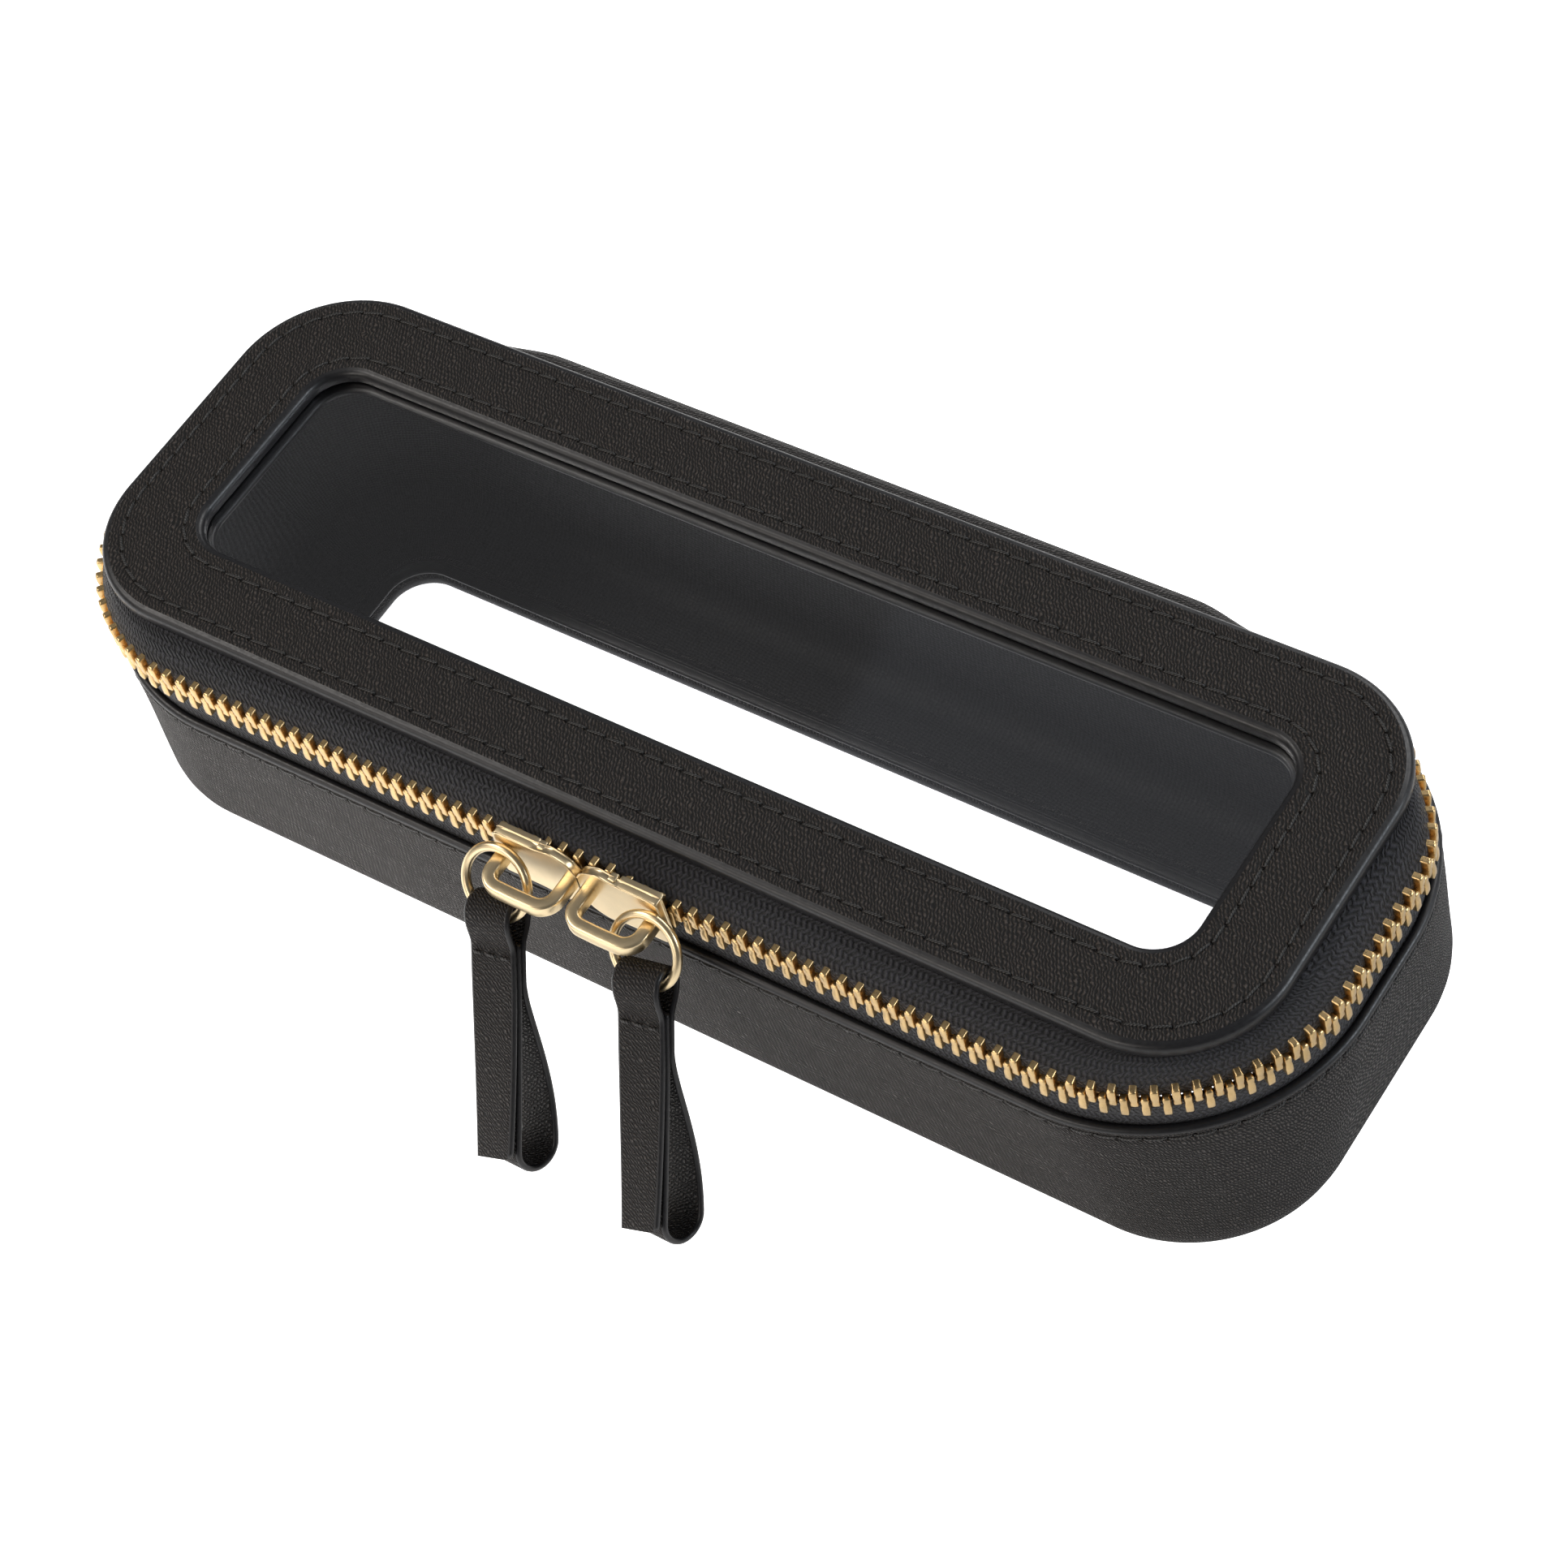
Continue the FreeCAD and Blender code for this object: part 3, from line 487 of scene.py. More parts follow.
def lining_cloth(name, dark, light):
    """Fine ribbed lining cloth."""
    material, tree, shader = new_material(name)
    place, along, down = grain_axes(tree, 4.0, 0.3)
    ribs = wave(tree, along, 0.6)
    threads = wave(tree, down, 0.5)
    grit = noise(tree, place, 2.5, 3.0)
    height = sums(tree, "MULTIPLY_ADD", ribs, 0.3, sums(tree, "MULTIPLY", threads, 0.16))
    height = sums(tree, "ADD", height, grit)
    colour = blend_colour(tree, spread(tree, height, 0.2, 1.0), dark, light)
    dress(tree, shader, colour, spread(tree, grit, 0.3, 0.7, 0.5, 0.7), height, 0.08)
    return material


def plated_metal(name, colour, roughness, mottle=0.08):
    """Plated zinc or brass with fine handling marks."""
    material, tree, shader = new_material(name)
    place = node(tree, "ShaderNodeTexCoord").outputs["Object"]
    soft = noise(tree, place, 420.0, 3.0)
    fine = noise(tree, place, 3200.0, 2.0)
    darker = tuple(value * (1 - mottle * 3) for value in colour[:3]) + (1.0,)
    shader.inputs["Metallic"].default_value = 1.0
    shade = blend_colour(tree, spread(tree, soft, 0.35, 0.65), darker, colour)
    shine = spread(tree, fine, 0.3, 0.7, roughness - 0.02, roughness + mottle)
    dress(tree, shader, shade, shine, soft, 0.002)
    return material


def greyboard(name, dark, light):
    """Pressed paper board."""
    material, tree, shader = new_material(name)
    place = node(tree, "ShaderNodeTexCoord").outputs["Object"]
    fibre = noise(tree, place, 900.0, 5.0, 0.7)
    tree.links.new(blend_colour(tree, fibre, dark, light), shader.inputs["Base Color"])
    tree.links.new(bump(tree, fibre, 0.06), shader.inputs["Normal"])
    shader.inputs["Roughness"].default_value = 0.85
    return material


def clear_film(name):
    """Clear soft sheet: what is behind shows through, and its skin mirrors the room."""
    material, tree, shader = new_material(name)
    edge_on = node(tree, "ShaderNodeLayerWeight", {"Blend": 0.5}).outputs["Facing"]
    steepness, at_edge, head_on = 5.0, 0.9, 0.095
    facing = sums(tree, "MULTIPLY_ADD", sums(tree, "POWER", edge_on, steepness), at_edge, head_on)
    see_through = node(tree, "ShaderNodeBsdfTransparent", {"Color": (0.99, 0.992, 0.996, 1.0)}).outputs[0]
    mirror = node(tree, "ShaderNodeBsdfGlossy", {"Color": (1.0, 1.0, 1.0, 1.0), "Roughness": 0.05})
    tree.nodes.remove(shader)
    mixed = node(tree, "ShaderNodeMixShader", {0: facing, 1: see_through, 2: mirror.outputs[0]}).outputs[0]
    tree.links.new(mixed, tree.nodes["Material Output"].inputs["Surface"])
    return material


# In each leather the first colour is painted shade in the grain's hollows and the second is painted
# highlight on its raised tops.
LEATHER = saffiano("saffiano_top", (0.0015, 0.0013, 0.0012, 1), (0.12, 0.1, 0.088, 1))
WALL_LEATHER = saffiano(
    "saffiano_wall", (0.003, 0.0026, 0.0024, 1), (0.16, 0.135, 0.122, 1), turn=6.0, relief=0.5
)
STRAP_LEATHER = saffiano(
    "saffiano_strap", (0.0025, 0.0021, 0.002, 1), (0.11, 0.092, 0.082, 1), turn=-12.0, relief=0.4
)
PAINT = edge_paint("edge_paint", (0.008, 0.008, 0.009, 1))
# The tape's first colour is painted shade between its threads and its second is painted highlight on the
# raised threads.
TAPE = herringbone("zip_tape_weave", (0.003, 0.003, 0.004, 1), (0.055, 0.055, 0.068, 1))
THREAD = twine("black_thread", (0.006, 0.006, 0.006, 1), (0.05, 0.047, 0.044, 1))
LINING = lining_cloth("lining_cloth", (0.004, 0.004, 0.005, 1), (0.018, 0.018, 0.019, 1))
TEETH = plated_metal("brass_teeth", (0.82, 0.58, 0.28, 1), 0.28, 0.07)
SLIDER = plated_metal("satin_gold", (0.88, 0.71, 0.44, 1), 0.3, 0.02)
BOARD = greyboard("greyboard", (0.05, 0.046, 0.042, 1), (0.10, 0.095, 0.088, 1))
FILM = clear_film("clear_film")


def finish_piece(piece, body, slot, *nodes):
    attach(piece, body)
    if nodes:
        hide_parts(*nodes)
    return piece


# ---------------------------------------------------------------- lid

PANEL_COUNTS = (416, 74, 60)
EDGE_ROUND = 0.9
FOOT_ROUND = 0.35
STITCH_NEAR = (0.75, 0.5, 0.3, 0.15, 0.0, -0.15, -0.3, -0.5, -0.75)


def edge_profile():
    """(inset, z) up the painted edge, from the underside to where the leather starts."""
    rows = [(2.0, panel_base), (FOOT_ROUND, panel_base)]
    for turn in np.radians((30, 60, 90)):
        rows.append((FOOT_ROUND * (1 - math.sin(turn)), panel_base + FOOT_ROUND * (1 - math.cos(turn))))
    top = panel_top - 0.1
    for turn in np.radians(range(0, 91, 15)):
        rows.append((EDGE_ROUND * (1 - math.cos(turn)), top - EDGE_ROUND * (1 - math.sin(turn))))
    return rows


def top_height(inset):
    """The top of the leather beside an edge: a soft shoulder, then drawn down along the stitches."""
    shoulder = 0.1 * min(1.0, (inset - EDGE_ROUND) / 0.3)
    groove = 0.09 * math.exp(-(((inset - STITCH_INSET) / 0.7) ** 2))
    puff = 0.05 * math.exp(-(((inset - 1.7) / 0.5) ** 2))
    return panel_top - 0.1 + shoulder - groove + puff


def build_panel():
    edge = edge_profile()
    near = [1.0, 1.2, 1.5, 1.8] + [STITCH_INSET - step for step in STITCH_NEAR] + [4.0, 4.8]
    rows, level_rows = Profile(PANEL_COUNTS), []
    for inset, z in edge:
        rows.add(panel_size(inset), z, 1)
    for inset in near:
        level_rows.append(len(rows.rings))
        rows.add(panel_size(inset), top_height(inset), 0)
    for share in (0.2, 0.4, 0.6, 0.8):
        size = between(panel_size(near[-1]), window_size(near[-1]), share)
        swell = 0.06 * math.sin(math.pi * share)
        rows.add(size, panel_top + swell, 0)
    for inset in reversed(near):
        level_rows.append(len(rows.rings))
        rows.add(window_size(inset), top_height(inset), 0)
    rows.slots[-1] = 1
    for inset, z in reversed(edge):
        rows.add(window_size(inset), z, 1)
    rings = np.array(rows.rings)
    holes = np.vstack([stitch_holes(size(STITCH_INSET), panel_top)[0] for size in (panel_size, window_size)])
    tree = tree_of(holes)
    for row in level_rows:
        flat = rings[row].copy()
        flat[:, 2] = panel_top
        rings[row][:, 2] -= needle_dips(flat, tree)
    piece = skin("lid_panel_leather", rings, [LEATHER, PAINT], rows.slots, plan=True)
    return finish_piece(piece, "lid", "saffiano_leather", "lid_top_panel")


def upwards(normal):
    return np.array([0.0, 0.0, 1.0])


def downwards(normal):
    return np.array([0.0, 0.0, -1.0])


def sideways(normal):
    return np.array([normal[0], normal[1], 0.0])


def build_threads(name, node_name, body, *rows):
    """One piece of stitching. Each row holds its outline, its height and the way out of the leather."""
    gather = Gather()
    for size, level, up_of in rows:
        holes, facing = stitch_holes(size, level)
        thread_row(gather, holes, facing, up_of)
    finish_piece(gather.piece(name, THREAD), body, "thread", node_name)


def build_lid_threads():
    level = panel_top - 0.1
    around_edge = (panel_size(STITCH_INSET), level, upwards)
    around_window = (window_size(STITCH_INSET), level, upwards)
    underneath = (window_size(STITCH_INSET), panel_base - 1.8, downwards)
    build_threads("lid_edge_threads", "lid_edge_stitching", "lid", around_edge)
    build_threads("lid_window_threads", "lid_window_stitching", "lid", around_window, underneath)


INNER_COUNTS = (120, 30, 24)


def build_lid_inner_frame():
    """The frame under the clear sheet, with a painted edge that shows inside the opening."""
    base, top = panel_base - 1.8, panel_base - 0.75
    round_off = 0.42
    rows = Profile(INNER_COUNTS)
    for inset, z in ((2.5, top - 0.5), (2.5, base + 0.1), (2.7, base)):
        rows.add(panel_size(inset), z, 0)
    for grow in (4.5, 2.0, 1.0):
        rows.add(window_size(grow), base, 0)
    overhang = -0.7
    for turn in np.radians(range(-90, 91, 30)):
        middle = (base + top) / 2
        size = window_size(overhang + round_off * (1 - math.cos(turn)))
        rows.add(size, middle + (top - base) / 2 * math.sin(turn), 1)
    for grow, z in ((1.0, top), (3.6, top), (4.3, top - 0.4), (6.0, top - 0.45)):
        rows.add(window_size(grow), z, 0)
    piece = skin("lid_inner_frame", rows.rings, [LINING, PAINT], rows.slots, plan=True)
    return finish_piece(piece, "lid", "lining", "lid_lining_frame")


def build_film(name, node_name, body, sag):
    """A clear sheet with a slight lift and sag along its length, so that its reflections curve."""
    low, high = box_mm(node_name)
    columns, rows = 96, 32
    xs = np.linspace(low[0], high[0], columns + 1)
    ys = np.linspace(low[1], high[1], rows + 1)
    grid_x, grid_y = np.meshgrid(xs, ys)
    across = (grid_y - low[1]) / (high[1] - low[1])
    along = (grid_x - low[0]) / (high[0] - low[0])
    held = np.sin(math.pi * across) * np.sin(math.pi * along)
    swing = np.sin(2 * math.pi * (1.1 * along + 0.35 * across)) + 0.4 * np.sin(2 * math.pi * 2.3 * along)
    thickness = 0.36
    top = high[2] - 0.03 - sag * held * (1.0 + 0.8 * swing)
    vertices = np.vstack([
        np.stack([grid_x, grid_y, top], -1).reshape(-1, 3),
        np.stack([grid_x, grid_y, top - thickness], -1).reshape(-1, 3),
    ])
    wide, deep = columns + 1, rows + 1
    below = wide * deep
    faces = []
    for r in range(rows):
        for c in range(columns):
            a = r * wide + c
            faces.append((a, a + 1, a + wide + 1, a + wide))
            faces.append((below + a, below + a + wide, below + a + wide + 1, below + a + 1))
    rim = [c for c in range(wide)] + [r * wide + columns for r in range(1, deep)]
    rim += [rows * wide + c for c in range(columns - 1, -1, -1)] + [r * wide for r in range(rows - 1, 0, -1)]
    for a, b in zip(rim, rim[1:] + rim[:1]):
        faces.append((a, below + a, below + b, b))
    piece = mesh_object(name, vertices, faces, None, [FILM])
    return finish_piece(piece, body, "clear_sheet", node_name)


# ---------------------------------------------------------------- base

BASE_COUNTS = (416, 74, 84)


def tub_foot(inset, angle):
    """Outline size and height at an angle round the foot, for a skin that lies inset inside."""
    radius = FOOT_ROUNDING - inset
    turn = math.radians(angle)
    pulled_in = inset + radius * (1 - math.sin(turn))
    size = (
        panel_half_x + FOOT_GROW - pulled_in,
        panel_half_y + FOOT_GROW - pulled_in,
        FOOT_CORNER - pulled_in,
    )
    return size, inset + radius * (1 - math.cos(turn))


def tub_wall(inset, z):
    share = (z - FOOT_ROUNDING) / (rim_z - FOOT_ROUNDING)
    grow = FOOT_GROW + (rim_grow - FOOT_GROW) * share - inset
    corner = FOOT_CORNER + (RIM_CORNER - FOOT_CORNER) * share - inset
    return panel_half_x + grow, panel_half_y + grow, corner


def wall_wave(ring, z):
    """A slight unevenness of the wall, as cut and glued leather has."""
    swell = math.sin(math.pi * min(max((z - 4) / (rim_z - 8), 0), 1))
    angle = np.arctan2(ring[:, 1] - middle_y, ring[:, 0])
    wave = np.sin(5 * angle + 0.6) + 0.6 * np.sin(11 * angle + z * 0.15) + 0.4 * np.sin(3 * angle - z * 0.2)
    return -0.1 + 0.08 * swell * wave


def build_shell():
    rows = Profile(BASE_COUNTS)
    add = rows.add
    for grow, z in ((0.0, 0.9), (0.0, 0.45), (0.12, 0.15), (0.4, 0.0)):
        add(window_size(grow), z, 1)
    add(window_size(0.8), 0.0, 0)
    for share in (0.25, 0.5, 0.75):
        add(between(window_size(0.8), tub_foot(0, 0)[0], share), 0.0, 0)
    for angle in range(0, 91, 9):
        add(*tub_foot(0, angle), 0)
    stitch_z = rim_z - RIM_STITCH_DROP
    wall = list(np.linspace(FOOT_ROUNDING, stitch_z - 1.2, 15)[1:])
    wall += [stitch_z + step for step in reversed(STITCH_NEAR)]
    first_wall = len(rows.rings)
    for z in wall:
        add(tub_wall(0, z), z, 0)
    last_wall = len(rows.rings)
    half = SHELL / 2
    for turn in np.radians(range(0, 181, 20)):
        centre = rim_z - half
        inset = half * (1 - math.cos(turn))
        add(tub_wall(inset, centre), centre + half * math.sin(turn), 1)
    for z in (28.0, 20.0, FOOT_ROUNDING):
        add(tub_wall(SHELL, z), z, 0)
    for angle in (60, 30, 0):
        add(*tub_foot(SHELL, angle), 0)
    add(window_size(0.8), SHELL, 0)
    add(window_size(0.2), SHELL - 0.1, 1)
    rings = np.array(rows.rings)
    rows.slots[-1] = 1
    outside = range(first_wall - 6, last_wall)
    _, facing = outline(*tub_wall(0, stitch_z), BASE_COUNTS)
    facing = np.column_stack([facing, np.zeros(len(facing))])
    tree = tree_of(stitch_holes(tub_wall(0, stitch_z), stitch_z)[0])
    for row in outside:
        z = rings[row, 0, 2]
        inwards = -wall_wave(rings[row], z) * min(1.0, max(0.0, (rim_z - z) / 6))
        groove = 0.12 * math.exp(-(((z - stitch_z) / 0.8) ** 2))
        if abs(z - stitch_z) < 1.2:
            inwards = inwards + needle_dips(rings[row], tree)
        rings[row] -= facing * (inwards + groove)[:, None]
    piece = skin("base_shell_leather", rings, [WALL_LEATHER, PAINT], rows.slots)
    return finish_piece(piece, "base", "saffiano_leather", "base_shell")


def build_base_threads():
    stitch_z = rim_z - RIM_STITCH_DROP
    rim_row = (tub_wall(0.14, stitch_z), stitch_z, sideways)
    window_row = (window_size(STITCH_INSET), LINING_INSIDE, upwards)
    build_threads("base_rim_threads", "base_rim_stitching", "base", rim_row)
    build_threads("base_window_threads", "base_window_stitching", "base", window_row)


LINING_COUNTS = (160, 36, 40)
LINING_OUTSIDE = 2.45
WELT_GROW = 1.7


def build_lining():
    """The lining tub, with a narrow welt round the bottom window."""
    rows = Profile(LINING_COUNTS)
    add = rows.add
    half = (LINING_INSIDE - LINING_OUTSIDE) / 2
    top = rim_z - half - 0.1
    add(between(window_size(1.0), tub_foot(LINING_OUTSIDE, 0)[0], 0.5), LINING_OUTSIDE)
    for angle in (0, 45, 90):
        add(*tub_foot(LINING_OUTSIDE, angle))
    for z in (16.0, 24.0):
        add(tub_wall(LINING_OUTSIDE, z), z)
    for turn in np.radians(range(0, 181, 30)):
        add(tub_wall(LINING_OUTSIDE + half * (1 - math.cos(turn)), top), top + half * math.sin(turn))
    for z in np.linspace(30, FOOT_ROUNDING, 10):
        add(tub_wall(LINING_INSIDE, z), z)
    for angle in range(80, -1, -10):
        add(*tub_foot(LINING_INSIDE, angle))
    add(window_size(STITCH_INSET + 0.8), LINING_INSIDE)
    add(window_size(STITCH_INSET), LINING_INSIDE - 0.08)
    add(window_size(WELT_GROW + 0.35), LINING_INSIDE, 1)
    for turn in np.radians(range(0, 181, 30)):
        add(window_size(WELT_GROW + 0.22 * math.cos(turn)), LINING_INSIDE + 0.3 * math.sin(turn), 1)
    add(window_size(WELT_GROW - 0.4), LINING_INSIDE - 0.05, 1)
    add(window_size(0.35), LINING_INSIDE - 0.05, 1)
    add(window_size(0.08), LINING_INSIDE - 0.25, 1)
    add(window_size(0.05), LINING_OUTSIDE, 1)
    piece = skin("base_lining_cloth", rows.rings, [LINING, PAINT], rows.slots)
    return finish_piece(piece, "base", "lining", "base_lining")


# ---------------------------------------------------------------- zip tapes and hinge gusset

TAPE_COUNTS = (220, 40, 44)
TAPE_THICK = 0.5
TAPE_EDGE = 0.55
DRAWN_IN = 2.3
slider_boxes = {side: box_mm(f"{side}_slider_body") for side in ("left", "right")}
nose_meeting = (slider_boxes["left"][1][0] + slider_boxes["right"][0][0]) / 2


def parting(x, y):
    """How far the sliders hold a tape away from the zip's middle."""
    away = np.abs(x - nose_meeting)
    share = np.clip((PARTING_START - away) / (PARTING_START - PARTING_FULL), 0, 1)
    return np.where(y < middle_y, PARTING_LIFT * share, 0.0)


def drawn_in(x, y):
    """How far the zip lies inside its even outline: it tucks in under the lid towards the hinge,
    and starts to do so further forward at the left end."""
    ahead = smooth_step(-x / 40)
    from_front = (y - middle_y - 12 + 50 * ahead) / (14 + 31 * ahead)
    return DRAWN_IN * smooth_step(from_front)


def tape_rings(profile, near, far, reference, direction):
    """Rings of a tape between two outlines. profile holds (share from near to far, height)."""
    points, facing = outline(*reference, TAPE_COUNTS, GUSSET_HALF)
    facing = np.column_stack([facing, np.zeros(len(facing))])
    inwards = drawn_in(points[:, 0], points[:, 1])[:, None]
    rings = []
    for share, z in profile:
        ring = ring_at(between(near, far, share), z, TAPE_COUNTS, GUSSET_HALF)
        lift = parting(ring[:, 0], ring[:, 1]) * (1 - min(share * 1.6, 1.0))
        ring[:, 2] += direction * lift
        rings.append(ring - facing * inwards * (1 - share))
    return np.array(rings), facing


def build_tapes():
    zip_size = grown(ZIP_GROW + 0.1, ZIP_CORNER)
    tucked = panel_size(1.6)
    crest = ZIP_Z + TOOTH_REACH
    upper = [
        (1.0, panel_base - 0.02), (0.72, panel_base - 0.12), (0.5, panel_base - 0.6),
        (0.32, panel_base - 1.2), (0.17, panel_base - 1.9), (0.06, crest + 0.1),
        (0.0, crest - 0.4), (0.0, ZIP_Z + TAPE_EDGE),
    ]
    rings, facing = tape_rings(upper, zip_size, tucked, zip_size, 1)
    inner = rings[::-1] - facing * TAPE_THICK
    inner[:, :, 2] -= np.linspace(0.05, 0.3, len(upper))[:, None]
    piece = skin("zip_tape_upper_weave", np.concatenate([rings, inner]), [TAPE], None, around=False)
    finish_piece(piece, "lid", "zip_tape", "zip_tape_upper")

    seam_size = tub_wall(SHELL + 0.05, rim_z)
    foot = ZIP_Z - TOOTH_REACH
    lower = [
        (0.0, ZIP_Z - TAPE_EDGE), (0.0, foot + 0.4), (0.12, foot - 0.7), (0.3, foot - 2.0),
        (0.62, rim_z + 0.6), (0.92, rim_z - 0.6), (1.0, rim_z - 2.4), (1.0, rim_z - 5.4),
    ]
    rings, facing = tape_rings(lower, zip_size, seam_size, zip_size, -1)
    inner = rings[::-1] - facing * TAPE_THICK
    piece = skin("zip_tape_lower_weave", np.concatenate([rings, inner]), [TAPE], None, around=False)
    finish_piece(piece, "base", "zip_tape", "zip_tape_lower")


def build_gusset():
    """One strip of leather across the back, sewn to the base and the lid."""
    outer = [
        (tub_wall(SHELL + 0.05, rim_z)[1], rim_z - 5.5),
        (tub_wall(SHELL + 0.05, rim_z)[1], rim_z - 0.5),
        (panel_half_y + ZIP_GROW + 0.3, rim_z + 1.5),
    ]
    for z in np.linspace(35.0, 42.0, 15):
        outer.append((panel_half_y + ZIP_GROW + 0.2, z))
    outer += [
        (panel_half_y + ZIP_GROW - 0.5, 43.0),
        (panel_half_y + ZIP_GROW - 1.6, 43.9),
        (panel_half_y + 1.0, 44.4),
        (panel_half_y - 1.6, panel_base - 0.02),
    ]
    outer = np.array(outer)
    steps = np.gradient(outer, axis=0)
    inward = np.stack([-steps[:, 1], steps[:, 0]], 1)
    inward /= np.linalg.norm(inward, axis=1)[:, None]
    inner = outer + inward * 0.95
    loop = np.vstack([outer, inner[::-1]])
    columns = np.linspace(-GUSSET_HALF + 0.15, GUSSET_HALF - 0.15, 80)
    rings = []
    for y, z in loop:
        tucked = 1.7 * smooth_step((np.abs(columns) - 50) / 11) * smooth_step((z - rim_z) / 4)
        rings.append(np.column_stack([columns, middle_y + y - tucked, np.full(len(columns), z)]))
    piece = skin("hinge_gusset_leather", rings, [WALL_LEATHER], None, around=False)
    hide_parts("hinge_gusset_upper", "hinge_gusset_lower")
    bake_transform(piece)
    return piece


# ---------------------------------------------------------------- teeth

# along the tooth from its root to its tip: distance from the zip's middle, width, depth
TOOTH_SECTIONS = (
    (2.60, 0.62, 1.75), (2.50, 0.92, 2.12), (2.25, 1.04, 2.28), (1.30, 1.06, 2.30), (0.75, 0.98, 2.20),
    (0.30, 0.86, 2.02), (-0.15, 0.96, 2.08), (-0.50, 0.98, 2.04), (-0.72, 0.84, 1.85), (-0.80, 0.55, 1.45),
)
TOOTH_POWER = 0.26
TOOTH_SIDES = 16


def superellipse(half_a, half_b, sides, power):
    angles = np.arange(sides) * 2 * math.pi / sides
    cos, sin = np.cos(angles), np.sin(angles)
    across = half_a * np.sign(cos) * np.abs(cos) ** power
    upright = half_b * np.sign(sin) * np.abs(sin) ** power
    return np.stack([across, upright], 1)


def zip_point(distance):
    """Point and outward normal on the zip's path, at a distance from the middle of its front."""
    half_x, half_y, corner = grown(ZIP_GROW, ZIP_CORNER)
    run_x, run_y = half_x - corner, half_y - corner
    bend = corner * math.pi / 2
    side = 1 if distance >= 0 else -1
    left = abs(distance)
    if left <= run_x:
        return np.array([side * left, middle_y - half_y]), np.array([0.0, -1.0])
    left -= run_x
    if left <= bend:
        angle = left / corner
        normal = np.array([math.sin(angle), -math.cos(angle)])
        point = np.array([run_x, -run_y]) + corner * normal
    elif left - bend <= 2 * run_y:
        normal = np.array([1.0, 0.0])
        point = np.array([half_x, -run_y + left - bend])
    elif left - bend - 2 * run_y <= bend:
        angle = (left - bend - 2 * run_y) / corner
        normal = np.array([math.cos(angle), math.sin(angle)])
        point = np.array([run_x, run_y]) + corner * normal
    else:
        normal = np.array([0.0, 1.0])
        point = np.array([run_x - (left - 2 * bend - 2 * run_y), half_y])
    return np.array([side * point[0], middle_y + point[1]]), np.array([side * normal[0], normal[1]])


def build_teeth(name, node_name, body, direction, first):
    end = outline_length(grown(ZIP_GROW, ZIP_CORNER)) / 2 - GUSSET_HALF - 1.1
    steps = int(end / TOOTH_PITCH)
    gather = Gather()
    for step in range(-steps, steps):
        point, normal = zip_point((step + first) * TOOTH_PITCH)
        along = np.array([-normal[1], normal[0], 0.0])
        outwards = np.array([normal[0], normal[1], 0.0])
        lift = float(parting(point[0], point[1]))
        point = point - normal * drawn_in(point[0], point[1])
        middle = np.array([point[0], point[1], ZIP_Z + direction * lift])
        rings = []
        for reach, width, depth in TOOTH_SECTIONS:
            section = superellipse(width / 2, depth / 2, TOOTH_SIDES, TOOTH_POWER)
            centre = middle + np.array([0.0, 0.0, direction * reach])
            rings.append([centre + along * a + outwards * b for a, b in section])
        gather.loft(rings)
    return finish_piece(gather.piece(name, TEETH), body, "zip_metal", node_name)


# ---------------------------------------------------------------- sliders

SLIDER_LENGTH, SLIDER_TAIL, SLIDER_NOSE, SLIDER_TIP = 12.5, 4.0, 4.5, 1.9
CHANNEL, FRONT_PLATE, BACK_PLATE = 1.35, 1.2, 1.0
CROWN_LENGTH, CROWN_HOLE, CROWN_BAND, CROWN_HEIGHT, CROWN_CORNER = 12.0, 4.1, 1.9, 2.0, 3.2
UPPER_LIP, LOWER_LIP, NUB_LENGTH = 6.4, 5.3, 1.1
POST_START, POST_END, POST_HALF = 2.2, 4.7, 0.5
half_slider = SLIDER_LENGTH / 2
plate_face = -(CHANNEL + FRONT_PLATE)


def smooth_through(points, count):
    """A Catmull-Rom curve through points."""
    points = np.asarray(points, float)
    padded = np.vstack([2 * points[0] - points[1], points, 2 * points[-1] - points[-2]])
    out = []
    for i in range(len(points) - 1):
        a, b, c, d = padded[i:i + 4]
        for t in np.arange(count) / count:
            out.append(0.5 * (2 * b + (c - a) * t + (2 * a - 5 * b + 4 * c - d) * t ** 2
                              + (3 * b - a - 3 * c + d) * t ** 3))
    out.append(points[-1])
    return np.array(out)


def plate_plan():
    """The front plate's plan (x, z), nose towards +X, counter-clockwise."""
    shoulder = smooth_through([
        (-half_slider + 0.35, SLIDER_TAIL), (-0.15 * half_slider, SLIDER_TAIL - 0.02),
        (0.15 * half_slider, SLIDER_TAIL + 0.14), (0.45 * half_slider, SLIDER_NOSE),
        (0.8 * half_slider, 0.8 * SLIDER_NOSE), (half_slider, SLIDER_TIP),
    ], 6)
    upper = [(-half_slider, SLIDER_TAIL - 0.35)] + [tuple(p) for p in shoulder]
    lower = [(x, -z) for x, z in reversed(upper)]
    return np.array(lower + upper)


def inset_plan(plan, amount):
    ahead = np.roll(plan, -1, axis=0) - plan
    behind = plan - np.roll(plan, 1, axis=0)
    ahead /= np.linalg.norm(ahead, axis=1)[:, None]
    behind /= np.linalg.norm(behind, axis=1)[:, None]
    heading = ahead + behind
    heading /= np.linalg.norm(heading, axis=1)[:, None]
    inward = np.stack([-heading[:, 1], heading[:, 0]], 1)
    return plan + inward * amount


def plate_rings(plan, y_low, y_high, bevel):
    """A bevelled plate drawn in the XZ plane, from y_low to y_high."""
    rows = []
    for turn in np.radians((0, 30, 60, 90)):
        rows.append((bevel * (1 - math.sin(turn)), y_low + bevel * (1 - math.cos(turn))))
    for turn in np.radians((90, 60, 30, 0)):
        rows.append((bevel * (1 - math.sin(turn)), y_high - bevel * (1 - math.cos(turn))))
    rings = []
    for inset, y in rows:
        flat = inset_plan(plan, inset)
        rings.append(np.column_stack([flat[:, 0], np.full(len(flat), y), flat[:, 1]]))
    return np.array(rings)


